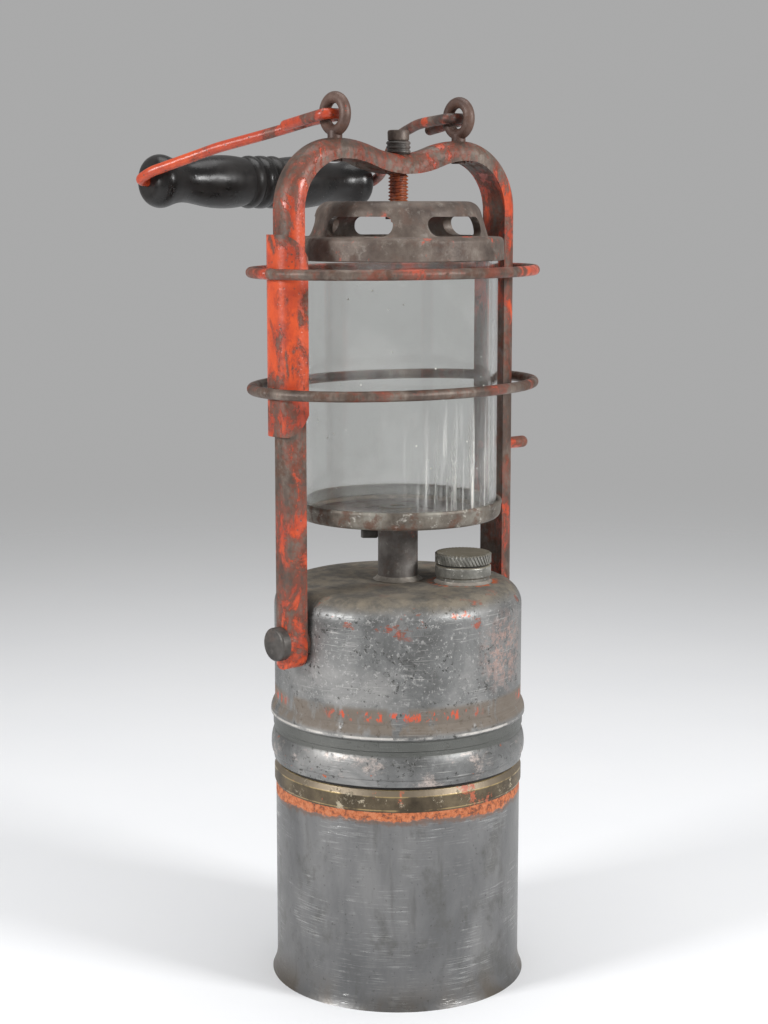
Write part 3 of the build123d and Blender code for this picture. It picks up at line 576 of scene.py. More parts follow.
@dataclass(frozen=True)
class AgedBrass:
    """Brass gone dark brown, bright again along the rims that hands and threads rub."""

    name: str = "aged_brass"
    rims: tuple[float, ...] = ()

    def make(self) -> Finish:
        """Builds the material.

        Returns:
            The material.
        """
        g = Graph(self.name)
        height = g.part("Z")
        clouds = g.noise(75, 7, 0.65)
        colour = g.ramp(
            clouds,
            (
                (0.32, (0.050, 0.039, 0.026)),
                (0.52, (0.110, 0.086, 0.056)),
                (0.70, (0.20, 0.160, 0.100)),
            ),
        )
        if self.rims:
            lip = g.fade(height, self.rims[1] - 0.3 * MM, self.rims[1] + 0.3 * MM)
            colour = g.mix(g.times(lip, 0.7), colour, (0.25, 0.205, 0.150))
        crust = g.fade(g.noise(120, 9, 0.80, (1, 1, 1), (0.4, 0, 0.1)), 0.565, 0.62)
        colour = g.mix(g.times(crust, 0.8), colour, (0.50, 0.43, 0.31))
        paint = g.fade(g.noise(90, 8, 0.78, (1, 1, 1), (0.1, 0.7, 0)), 0.59, 0.63)
        colour = g.mix(g.times(paint, 0.85), colour, (0.46, 0.10, 0.04))
        worn: Value = 0.0
        for rim in self.rims:
            line = g.band(height, rim - 0.2 * MM, rim + 0.2 * MM, 0.2 * MM)
            worn = g.most(worn, g.times(line, g.fade(clouds, 0.42, 0.56)))
        colour = g.mix(g.times(worn, 0.8), colour, (0.50, 0.37, 0.17))
        relief = g.bump(g.noise(330, 6, 0.7), 0.15 * MM)
        relief = g.bump(crust, 0.12 * MM, relief)
        rough = g.weigh(worn, g.weigh(crust, 0.48, 0.8), 0.28)
        g.surface(colour, rough, g.weigh(g.most(crust, paint), 0.75, 0.0), relief)
        return g.material


@dataclass(frozen=True)
class ChippedEnamel:
    """Vermilion enamel over iron, glossy where it holds and brown where it has gone."""

    name: str
    wear: tuple[tuple[float, float], ...]
    under: Colour = BROWN_IRON
    grain: Point = (1.0, 1.0, 0.5)
    flake: float = 105.0
    span: float = 360 * MM
    shift: Point = (0.0, 0.0, 0.0)
    ragged: float = 0.20
    gloss: float = 0.55
    bright: Colour = VERMILION
    deep: Colour = (0.40, 0.045, 0.014)
    brown_side: float = 0.0

    def make(self) -> Finish:
        """Builds the material.

        Returns:
            The material.
        """
        g = Graph(self.name)
        level = g.times(g.part("Z"), 1 / self.span)
        worn = g.ramp(level, tuple((z / self.span, (w, w, w)) for z, w in self.wear))
        side = g.times(g.fade(g.part("X"), -6 * MM, 22 * MM), self.brown_side)
        flakes = g.noise(self.flake, 9, 0.66, self.grain, self.shift, 0.5)
        tooth = g.less(g.noise(5 * self.flake, 6, 0.75, shift=(0.5, 0.1, 0.2)), 0.5)
        flakes = g.add(flakes, g.times(tooth, self.ragged))
        held = g.less(g.less(flakes, worn), side)
        paint = g.fade(held, -0.012, 0.022)
        thin = g.times(g.fade(held, 0.10, 0.0), paint)
        tone = g.noise(55, 5, 0.65, shift=(0.3, 0.3, 0))
        red = g.mix(g.fade(tone, 0.42, 0.60), self.bright, self.deep)
        red = g.mix(g.times(thin, 0.7), red, DEEP_RED)
        bare = g.ramp(
            g.noise(95, 9, 0.72, self.grain),
            (
                (0.30, (0.034, 0.024, 0.020)),
                (0.47, self.under),
                (0.62, GREY_BROWN),
                (0.78, (0.29, 0.25, 0.21)),
            ),
        )
        rusty = g.fade(g.noise(140, 7, 0.72, shift=(0.7, 0.1, 0.3)), 0.50, 0.62)
        bare = g.mix(g.times(rusty, 0.7), bare, RUST)
        stain = g.fade(g.add(held, g.times(tooth, 0.3)), -0.14, -0.01)
        bare = g.mix(g.times(stain, 0.7), bare, (0.20, 0.046, 0.024))
        specks = g.fade(g.cells(430), 0.22, 0.10)
        red = g.mix(g.times(specks, g.fade(tone, 0.46, 0.56)), red, (0.085, 0.045, 0.035))
        colour = g.mix(paint, bare, red)
        relief = g.bump(g.noise(190, 4, 0.55), 0.30 * MM)
        relief = g.bump(g.less(paint, g.times(specks, 0.6)), 0.10 * MM, relief)
        relief = g.bump(g.noise(900, 3, 0.6), 0.02 * MM, relief)
        rough = g.weigh(paint, g.weigh(rusty, 0.52, 0.78), g.weigh(tone, 0.24, 0.44))
        g.surface(colour, rough, g.weigh(paint, 0.30, 0.0), relief)
        g.shader.inputs["Specular IOR Level"].default_value = self.gloss
        return g.material


@dataclass(frozen=True)
class Iron:
    """Bare iron with rust, scale and a little of the old paint."""

    name: str
    dark: Colour = (0.050, 0.040, 0.034)
    mid: Colour = BROWN_IRON
    light: Colour = (0.20, 0.175, 0.155)
    rust: float = 0.4
    paint: float = 0.0
    paint_low: float = 0.0
    paint_high: float = 1.0
    inside: float = 0.0
    inside_top: float = 1.0
    lining: Colour = (0.115, 0.022, 0.014)
    pale: float = 0.0
    metal: float = 0.45
    rough: float = 0.58
    relief: float = 0.16 * MM

    def make(self) -> Finish:
        """Builds the material.

        Returns:
            The material.
        """
        g = Graph(self.name)
        clouds = g.noise(70, 8, 0.66)
        colour = g.ramp(clouds, ((0.32, self.dark), (0.50, self.mid), (0.70, self.light)))
        rusty = g.fade(g.noise(120, 7, 0.7, shift=(0.4, 0.2, 0.9)), 0.50, 0.62)
        colour = g.mix(g.times(rusty, self.rust), colour, RUST)
        pale = g.fade(g.noise(260, 7, 0.75, shift=(0.1, 0.9, 0.2)), 0.55, 0.66)
        colour = g.mix(g.times(pale, self.pale), colour, (0.50, 0.48, 0.43))
        height = g.part("Z")
        zone = g.band(height, self.paint_low, self.paint_high, 1.5 * MM)
        flakes = g.fade(g.noise(85, 9, 0.78, shift=(0.9, 0.3, 0.1)), 0.64 - 0.1 * self.paint, 0.66)
        flakes = g.times(flakes, zone, min(1.0, 4 * self.paint))
        colour = g.mix(g.times(flakes, 0.85), colour, (0.46, 0.055, 0.020))
        if self.inside:
            within = g.fade(g.radius(), self.inside, self.inside - 1.5 * MM)
            below = g.fade(height, self.inside_top + 0.5 * MM, self.inside_top - 0.5 * MM)
            within = g.times(within, below)
            mottled = g.fade(g.noise(120, 7, 0.7, shift=(0.2, 0.2, 0.6)), 0.40, 0.60)
            mottled = g.weigh(mottled, 0.9, 0.4)
            colour = g.mix(g.times(within, mottled), colour, self.lining)
        normal = g.bump(g.noise(210, 6, 0.68), self.relief)
        normal = g.bump(g.noise(60, 3, 0.5), 0.35 * MM, normal)
        matt = g.most(rusty, flakes)
        rough = g.weigh(rusty, g.weigh(clouds, self.rough - 0.1, self.rough + 0.08), 0.8)
        g.surface(colour, rough, g.weigh(matt, self.metal, 0.0), normal)
        return g.material


@dataclass(frozen=True)
class GreyPlate:
    """Dull plating with tan dust above and a little bright wear."""

    name: str = "grey_plate"

    def make(self) -> Finish:
        """Builds the material.

        Returns:
            The material.
        """
        g = Graph(self.name)
        clouds = g.noise(150, 7, 0.65)
        colour = g.ramp(
            clouds,
            ((0.30, (0.13, 0.128, 0.115)), (0.50, (0.25, 0.245, 0.22)), (0.70, (0.42, 0.41, 0.37))),
        )
        upward = g.fade(g.part("Z", g.facing), 0.4, 0.9)
        colour = g.mix(g.times(upward, 0.75), colour, (0.27, 0.235, 0.165))
        whites = g.fade(g.noise(480, 5, 0.7), 0.60, 0.68)
        colour = g.mix(g.times(whites, 0.7), colour, (0.62, 0.61, 0.57))
        relief = g.bump(g.noise(600, 5, 0.7), 0.05 * MM)
        g.surface(colour, g.weigh(upward, 0.42, 0.72), g.weigh(upward, 0.7, 0.25), relief)
        return g.material


@dataclass(frozen=True)
class Soft:
    """A dull rubber, felt or fibre."""

    name: str
    low: Colour
    high: Colour
    scale: float = 260.0
    rough: float = 0.8
    relief: float = 0.15 * MM

    def make(self) -> Finish:
        """Builds the material.

        Returns:
            The material.
        """
        g = Graph(self.name)
        weave = g.noise(self.scale, 6, 0.7)
        colour = g.ramp(weave, ((0.32, self.low), (0.68, self.high)))
        g.surface(colour, g.weigh(weave, self.rough, 0.95), 0.0, g.bump(weave, self.relief))
        return g.material


@dataclass(frozen=True)
class StainedGlass:
    """Clear glass with dried drips on its lower half."""

    name: str = "clear_glass"
    foot: float = 197 * MM
    drip_top: float = 262 * MM
    drip_side: Point = (0.012, -0.039, 0.222)

    def make(self) -> Finish:
        """Builds the material.

        Returns:
            The material.
        """
        g = Graph(self.name)
        height = g.part("Z")
        runs = g.fade(g.noise(1.0, 5, 0.75, (380, 380, 14)), 0.49, 0.68)
        low = g.fade(height, self.drip_top, self.foot + 8 * MM)
        side = g.near(self.drip_side, 12 * MM, 52 * MM)
        film = g.times(runs, low, side)
        haze = g.times(g.fade(g.noise(45, 6, 0.65), 0.42, 0.72), 0.22)
        rim = g.fade(height, self.foot + 7 * MM, self.foot + 1 * MM)
        specks = g.times(g.fade(g.cells(170), 0.075, 0.045), g.fade(g.noise(40, 2), 0.50, 0.56))
        dirt = g.most(g.times(film, 0.8), g.times(rim, 0.30))
        dirt = g.most(g.most(dirt, specks), g.times(haze, 0.35))
        colour = g.mix(dirt, (0.965, 0.975, 0.965), (0.74, 0.71, 0.63))
        clear = g.less(1.0, g.times(dirt, 0.85))
        g.feed(g.shader.inputs["Transmission Weight"], clear)
        g.shader.inputs["IOR"].default_value = 1.47
        rough = g.most(g.times(dirt, 0.6), g.times(haze, 0.25))
        g.surface(colour, rough, 0.0, g.bump(g.noise(22, 2, 0.4, (1, 1, 0.4)), 0.12 * MM))
        return g.material


@dataclass(frozen=True)
class BlackWood:
    """Turned wood under a black varnish, polished by hands and knocked a little."""

    name: str = "black_wood"

    def make(self) -> Finish:
        """Builds the material.

        Returns:
            The material.
        """
        g = Graph(self.name)
        grain = g.noise(1.0, 6, 0.65, (60, 520, 520))
        tone = g.noise(70, 6, 0.65)
        colour = g.ramp(tone, ((0.35, (0.0065, 0.006, 0.006)), (0.62, (0.016, 0.014, 0.013))))
        bare = g.times(g.fade(g.noise(160, 7, 0.75, shift=(0.3, 0, 0)), 0.66, 0.70), 0.7)
        colour = g.mix(bare, colour, (0.060, 0.036, 0.024))
        dents = g.fade(g.cells(210), 0.20, 0.05)
        relief = g.bump(g.noise(120, 3, 0.5), 0.20 * MM)
        relief = g.bump(g.less(g.times(grain, 0.5), dents), 0.05 * MM, relief)
        g.surface(colour, g.weigh(g.fade(tone, 0.40, 0.64), 0.26, 0.44), 0.0, relief)
        g.shader.inputs["Specular IOR Level"].default_value = 0.32
        return g.material


# ---------------------------------------------------------------- modelling
def deselect() -> None:
    """Leaves object mode with nothing selected."""
    if bpy.context.mode != "OBJECT":
        bpy.ops.object.mode_set(mode="OBJECT")
    bpy.ops.object.select_all(action="DESELECT")


@contextmanager
def editing(picks: Picks | None = None) -> Iterator[None]:
    """Edit mode for the lines inside.

    Args:
        picks: What is selected there, or None to leave that as it is.

    Yields:
        Nothing.
    """
    bpy.ops.object.mode_set(mode="EDIT")
    if picks:
        bpy.ops.mesh.select_mode(type=picks.value)
    yield
    bpy.ops.object.mode_set(mode="OBJECT")


def choose(piece: Piece) -> None:
    """Selects one object and makes it active.

    Args:
        piece: The object.
    """
    deselect()
    piece.select_set(True)
    bpy.context.view_layer.objects.active = piece


def tidy(piece: Piece) -> None:
    """Merges doubles, closes poles and turns every face outwards.

    Args:
        piece: The piece to clean.
    """
    choose(piece)
    with editing():
        bpy.ops.mesh.select_all(action="SELECT")
        bpy.ops.mesh.remove_doubles(threshold=WELD)
        bpy.ops.mesh.dissolve_degenerate(threshold=WELD)
        bpy.ops.mesh.select_all(action="SELECT")
        bpy.ops.mesh.normals_make_consistent(inside=False)


def settle(piece: Piece, smooth: float = SMOOTH_ANGLE) -> Piece:
    """Puts a piece's place in its mesh and shades it.

    Args:
        piece: The piece.
        smooth: Edges sharper than this stay sharp.

    Returns:
        The same piece.
    """
    choose(piece)
    bpy.ops.object.transform_apply(location=True, rotation=True, scale=True)
    bpy.ops.object.shade_smooth_by_angle(angle=smooth)
    return piece


def harden(piece: Piece, width: float, segments: int = 2) -> None:
    """Bevels a piece's sharp edges.

    Args:
        piece: The piece.
        width: The bevel's width.
        segments: Its steps.
    """
    choose(piece)
    bevel = piece.modifiers.new("edge", "BEVEL")
    bevel.width = width
    bevel.segments = segments
    bevel.limit_method = "ANGLE"
    bpy.ops.object.modifier_apply(modifier=bevel.name)


def turned(name: str, outline: Outline, centre: Point, steps: int = 96) -> Piece:
    """Spins a closed outline round an upright axis.

    Args:
        name: The piece's name.
        outline: Radius and height of each corner, in order round the section.
        centre: A point on the axis, which the heights start from.
        steps: Divisions of the turn.

    Returns:
        The closed piece.
    """
    deselect()
    bpy.ops.mesh.primitive_circle_add(vertices=len(outline), radius=MM, location=centre)
    piece = bpy.context.object
    piece.name = name
    for vertex, (radius, height) in zip(piece.data.vertices, outline):
        vertex.co = (radius, 0.0, height)
    with editing():
        bpy.ops.mesh.select_all(action="SELECT")
        bpy.ops.mesh.spin(steps=steps, angle=FULL_TURN, center=centre, axis=(0, 0, 1))
    tidy(piece)
    return settle(piece)


def joined(name: str, pieces: list[Piece]) -> Piece:
    """Joins objects into one.

    Args:
        name: The new piece's name.
        pieces: The objects.

    Returns:
        The one piece.
    """
    choose(pieces[0])
    for piece in pieces:
        piece.select_set(True)
    bpy.ops.object.join()
    whole = bpy.context.object
    whole.name = name
    return whole


def lumps(name: str, spots: list[tuple[Point, Point]], seed: int, rough: float = 0.18) -> Piece:
    """Small uneven blobs of metal or paint.

    Args:
        name: The piece's name.
        spots: The centre and the three half-sizes of each blob.
        seed: Starts the unevenness.
        rough: How uneven a blob is, as a share of its smallest half-size.

    Returns:
        All the blobs as one piece.
    """
    made = []
    for number, (centre, half) in enumerate(spots):
        deselect()
        bpy.ops.mesh.primitive_ico_sphere_add(subdivisions=3, radius=1.0, location=centre)
        blob = bpy.context.object
        blob.scale = half
        bpy.ops.object.transform_apply(location=False, rotation=False, scale=True)
        with editing():
            bpy.ops.mesh.select_all(action="SELECT")
            bpy.ops.transform.vertex_random(
                offset=rough * min(half), uniform=0.4, normal=0.8, seed=seed + number
            )
            bpy.ops.mesh.vertices_smooth(factor=0.5, repeat=3)
        made.append(blob)
    whole = joined(name, made)
    return settle(whole, math.pi)


def fillet(name: str, radius: float, height: float, size: float, centre: Point, seed: int) -> Piece:
    """A ring of solder in the corner between a tube and a plate.

    Args:
        name: The piece's name.
        radius: The tube's radius.
        height: Which way the fillet climbs: 1 up, -1 down.
        size: How far it reaches.
        centre: The middle of the corner ring.
        seed: Starts the unevenness.

    Returns:
        The ring.
    """
    curve = [(radius - BURIED, -BURIED * height), (radius + size, -BURIED * height)]
    curve += [(radius + out * size, up * size * height) for out, up in SOLDER_CURVE]
    curve.append((radius - BURIED, 1.05 * size * height))
    ring = turned(name, curve, centre, 72)
    with editing():
        bpy.ops.mesh.select_all(action="SELECT")
        bpy.ops.transform.vertex_random(offset=0.10 * size, uniform=0.6, normal=0.5, seed=seed)
        bpy.ops.mesh.vertices_smooth(factor=0.5, repeat=2)
    return settle(ring, math.pi)


class Assembly:
    """A group of pieces, and how they get their finishes and bodies."""

    def dress(self, material: Finish, *nodes: str) -> None:
        """Gives CAD nodes a material.

        Args:
            material: The finish.
            nodes: The nodes' names.
        """
        for name in nodes:
            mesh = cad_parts[name].data
            mesh.materials.clear()
            mesh.materials.append(material)
            log.info("dressed %s in %s", name, material.name)

    def fit(
        self,
        piece: Piece,
        material: Finish,
        body: Body,
        slot: str,
        stands_for: tuple[str, ...] = (),
    ) -> None:
        """Puts a new piece on its body.

        Args:
            piece: The piece, in its place.
            material: Its finish.
            body: The body that it moves with.
            slot: A material slot's name; not used.
            stands_for: The CAD nodes that it replaces.
        """
        piece.data.materials.clear()
        piece.data.materials.append(material)
        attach(piece, body.value)
        if stands_for:
            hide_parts(*stands_for)
        log.info("fitted %s on %s", piece.name, body.value)


# ---------------------------------------------------------------- sub-assemblies
@dataclass
class CarbideCan(Assembly):
    """The lower can with its brass collar and the sealing ring on it."""

    seam_bearing: float = math.radians(62)
    seam_half: float = 2.6 * MM
    seam_proud: float = 0.35 * MM
    wall_radius: float = 51.1 * MM
    foot_gap: float = 9.5 * MM
    lip_gap: float = 0.4 * MM
    lower_rim: float = 5.9 * MM
    upper_rim: float = 2.5 * MM

    def build(self, rubber: Finish) -> None:
        """Dresses the can and adds its seam.

        Args:
            rubber: The finish of the sealing ring.
        """
        steel = CanSteel().make()
        collar_low, collar_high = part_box("can_collar")[0].z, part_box("can_collar")[1].z
        rims = (collar_low + self.lower_rim, collar_high - self.upper_rim, collar_high)
        self.dress(steel, "can_shell", "can_floor")
        self.dress(AgedBrass("collar_brass", rims).make(), "can_collar")
        self.dress(rubber, "seal_ring")
        low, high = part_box("can_shell")
        seam = side_seam(
            "can_seam",
            self.seam_bearing,
            self.wall_radius,
            (low.z + self.foot_gap, high.z - self.lip_gap),
            self.seam_half,
            self.seam_proud,
        )
        self.fit(seam, steel, Body.CAN, "can_steel")


def side_seam(
    name: str,
    bearing: float,
    radius: float,
    heights: tuple[float, float],
    half: float,
    proud: float,
) -> Piece:
    """A flattened lap seam that runs up a round wall.

    Args:
        name: The piece's name.
        bearing: Where it is round the wall.
        radius: The wall's radius.
        heights: Its two ends.
        half: Half of its width.
        proud: How far it stands out.

    Returns:
        The seam.
    """
    deselect()
    bpy.ops.mesh.primitive_grid_add(x_subdivisions=8, y_subdivisions=2, size=2.0)
    seam = bpy.context.object
    seam.name = name
    for vertex in seam.data.vertices:
        turn = bearing + vertex.co.x * half / radius
        level = heights[0] if vertex.co.y < 0 else heights[1]
        if abs(vertex.co.y) < 0.5:
            level = sum(heights) / 2
        out = radius - SEAM_SUNK
        vertex.co = (out * math.cos(turn), out * math.sin(turn), level)
    with editing():
        bpy.ops.mesh.select_all(action="SELECT")
        bpy.ops.mesh.normals_make_consistent(inside=False)
    middle = seam.data.polygons[len(seam.data.polygons) // 2]
    outward = middle.normal.x * math.cos(bearing) + middle.normal.y * math.sin(bearing) > 0
    wall = seam.modifiers.new("wall", "SOLIDIFY")
    wall.thickness = proud + SEAM_SUNK
    wall.offset = 1.0 if outward else -1.0
    bpy.ops.object.modifier_apply(modifier=wall.name)
    tidy(seam)
    harden(seam, 0.2 * MM)
    return settle(seam)


@dataclass
class WaterTank(Assembly):
    """The tank, its filler and the gas tube that rises through it."""

    tube_radius: float = 8.25 * MM
    neck_radius: float = 10.9 * MM
    solder_reach: float = 2.3 * MM
    ribs: int = 46
    rib_depth: float = 0.42 * MM
    rib_lean: float = math.radians(9)
    rib_share: float = 0.84
    cap_head: float = 4.3 * MM
    plug_radius: float = 7.9 * MM
    plug_bore: float = 6.5 * MM
    wall_radius: float = 51.3 * MM
    seam_bearing: float = math.radians(58)
    seam_heights: tuple[float, float] = (119.5 * MM, 156.5 * MM)
    seam_half: float = 2.6 * MM
    seam_proud: float = 0.3 * MM

    def build(self, rubber: Finish, fibre: Finish) -> None:
        """Dresses the tank and adds its solder, seam and filler cap.

        Args:
            rubber: The finish of the washers.
            fibre: The finish of the felt.
        """
        steel = TankSteel().make()
        brass = AgedBrass().make()
        plate = GreyPlate().make()
        solder = Iron(
            "pale_solder",
            dark=(0.13, 0.115, 0.095),
            mid=(0.29, 0.265, 0.23),
            light=(0.52, 0.49, 0.44),
            rust=0.25,
            pale=0.5,
            rough=0.6,
        ).make()
        tube = Iron(
            "tube_steel",
            dark=(0.085, 0.075, 0.068),
            mid=(0.165, 0.15, 0.138),
            light=(0.27, 0.255, 0.24),
            rust=0.35,
            paint=0.42,
            paint_low=183 * MM,
            paint_high=193 * MM,
            pale=0.25,
        ).make()
        self.dress(steel, "tank_shell", "tank_floor")
        self.dress(brass, "tank_skirt", "filter_cup", "valve_seat", "valve_gland")
        self.dress(tube, "gas_tube")
        self.dress(plate, "filler_neck")
        self.dress(rubber, "filler_washer")
        self.dress(fibre, "filter_felt")
        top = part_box("tank_shell")[1].z
        foot = fillet("tube_solder", self.tube_radius, 1.0, self.solder_reach, (0, 0, top), 3)
        self.fit(foot, solder, Body.TANK, "tube_steel")
        low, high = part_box("filler_neck")
        middle = (low + high) / 2
        ring = fillet("neck_solder", self.neck_radius, 1.0, 1.5 * MM, (middle.x, middle.y, top), 11)
        self.fit(ring, solder, Body.TANK, "tube_steel")
        self.fit(self.filler_cap(), plate, Body.CAP, "grey_plate", ("filler_cap",))
        seam = side_seam(
            "tank_seam",
            self.seam_bearing,
            self.wall_radius,
            self.seam_heights,
            self.seam_half,
            self.seam_proud,
        )
        self.fit(seam, steel, Body.TANK, "tank_steel")

    def filler_cap(self) -> Piece:
        """The cap, with a leaning knurl round it, and the plug under it.

        Returns:
            The cap as one piece.
        """
        low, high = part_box("filler_cap")
        middle = (low + high) / 2
        radius = (high.x - low.x) / 2
        head_low = high.z - self.cap_head
        heart = (middle.x, middle.y, head_low + self.cap_head / 2)
        deselect()
        bpy.ops.mesh.primitive_cylinder_add(
            vertices=2 * self.ribs,
            radius=radius - self.rib_depth,
            depth=self.cap_head,
            location=heart,
        )
        head = bpy.context.object
        with editing(Picks.FACES):
            bpy.ops.mesh.select_all(action="DESELECT")
        slice_angle = FULL_TURN / (2 * self.ribs)
        for face in head.data.polygons:
            if abs(face.normal.z) < 0.5:
                turn = math.atan2(face.center.y, face.center.x) % FULL_TURN
                face.select = int(turn / slice_angle) % 2 == 0
        with editing():
            bpy.ops.mesh.extrude_region_shrink_fatten(
                TRANSFORM_OT_shrink_fatten={"value": self.rib_depth, "use_even_offset": False}
            )
            bpy.ops.transform.resize(value=(1.0, 1.0, self.rib_share), center_override=heart)
            bpy.ops.mesh.select_all(action="DESELECT")
        for vertex in head.data.vertices:
            vertex.select = vertex.co.z > 0
        with editing(Picks.CORNERS):
            bpy.ops.transform.rotate(
                value=self.rib_lean, orient_axis="Z", center_override=(middle.x, middle.y, high.z)
            )
        for face in head.data.polygons:
            face.select = face.normal.z > 0.9 and len(face.vertices) > 8
        with editing(Picks.FACES):
            bpy.ops.mesh.inset(thickness=0.8 * MM, depth=0.0)
            bpy.ops.mesh.inset(thickness=0.5 * MM, depth=-0.12 * MM)
        tidy(head)
        harden(head, 0.09 * MM, 1)
        plug_low = low.z - head_low
        chamfer = 0.4 * MM
        plug = turned(
            "plug",
            [
                (self.plug_radius, BURIED),
                (self.plug_radius, plug_low + chamfer),
                (self.plug_radius - chamfer, plug_low),
                (self.plug_bore + chamfer / 2, plug_low),
                (self.plug_bore, plug_low + chamfer),
                (self.plug_bore, BURIED),
            ],
            (middle.x, middle.y, head_low),
            72,
        )
        dimple = (middle.x, middle.y, high.z - 0.25 * MM)
        speck = lumps("speck", [(dimple, (0.7 * MM, 0.6 * MM, 0.2 * MM))], 5)
        return settle(joined("filler_cap_knurled", [head, plug, speck]))


@dataclass
class FlameChamber(Assembly):
    """The gallery, the socket, the glass and the valve lever below them."""

    tube_radius: float = 8.25 * MM
    lever_bearing: float = 140.0
    lever_boss: float = 4.0 * MM
    lever_reach: float = 11.5 * MM
    lever_drop: float = 2.4 * MM

    def build(self, dark: Finish, fibre: Finish) -> None:
        """Dresses the chamber and the water valve.

        Args:
            dark: The finish of the dark steel pieces.
            fibre: The finish of the seats.
        """
        gallery = Iron(
            "gallery_iron",
            dark=(0.055, 0.042, 0.032),
            mid=(0.150, 0.130, 0.106),
            light=(0.30, 0.290, 0.250),
            rust=0.85,
            pale=0.7,
            inside=37.5 * MM,
            lining=(0.120, 0.082, 0.064),
            metal=0.4,
            rough=0.55,
            relief=0.22 * MM,
        ).make()
        self.dress(gallery, "burner_gallery")
        self.dress(AgedBrass("socket_brass").make(), "burner_socket")
        self.dress(fibre, "glass_seat")
        self.dress(StainedGlass().make(), "glass_chimney")
        self.dress(dark, "valve_spindle", "spindle_nut")
        self.fit(self.lever(), dark, Body.VALVE, "dark_steel", ("valve_lever",))
        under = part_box("burner_gallery")[0].z
        ring = fillet("gallery_solder", self.tube_radius, -1.0, 1.8 * MM, (0, 0, under), 23)
        self.fit(ring, gallery, Body.TANK, "rusty_iron")

    def lever(self) -> Piece:
        """The water valve's lever, cranked down towards its tip.

        Returns:
            The lever.
        """
        low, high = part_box("valve_lever")
        nut_low, nut_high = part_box("spindle_nut")
        middle = (nut_low + nut_high) / 2
        bearing = math.radians(self.lever_bearing)
        level = (low.z + high.z) / 2
        thick = high.z - low.z
        deselect()
        bpy.ops.mesh.primitive_cylinder_add(
            vertices=36, radius=self.lever_boss, depth=thick, location=(middle.x, middle.y, level)
        )
        lever = bpy.context.object
        lever.name = "valve_lever_cranked"
        for stretch, drop in ((0.30, 0.0), (0.20, self.lever_drop), (0.50, 0.0)):
            choose(lever)
            run = stretch * self.lever_reach
            reach = max(
                vertex.co.x * math.cos(bearing) + vertex.co.y * math.sin(bearing)
                for vertex in lever.data.vertices
            )
            for part in (*lever.data.vertices, *lever.data.edges):
                part.select = False
            for face in lever.data.polygons:
                out = face.center.x * math.cos(bearing) + face.center.y * math.sin(bearing)
                along = face.normal.x * math.cos(bearing) + face.normal.y * math.sin(bearing)
                face.select = abs(face.normal.z) < 0.5 and along > 0.80 and out > reach - 1.2 * MM
            with editing(Picks.FACES):
                bpy.ops.mesh.extrude_region_move(
                    TRANSFORM_OT_translate={
                        "value": (run * math.cos(bearing), run * math.sin(bearing), -drop),
                        "orient_type": "GLOBAL",
                    }
                )
        tidy(lever)
        harden(lever, 0.35 * MM)
        return settle(lever)


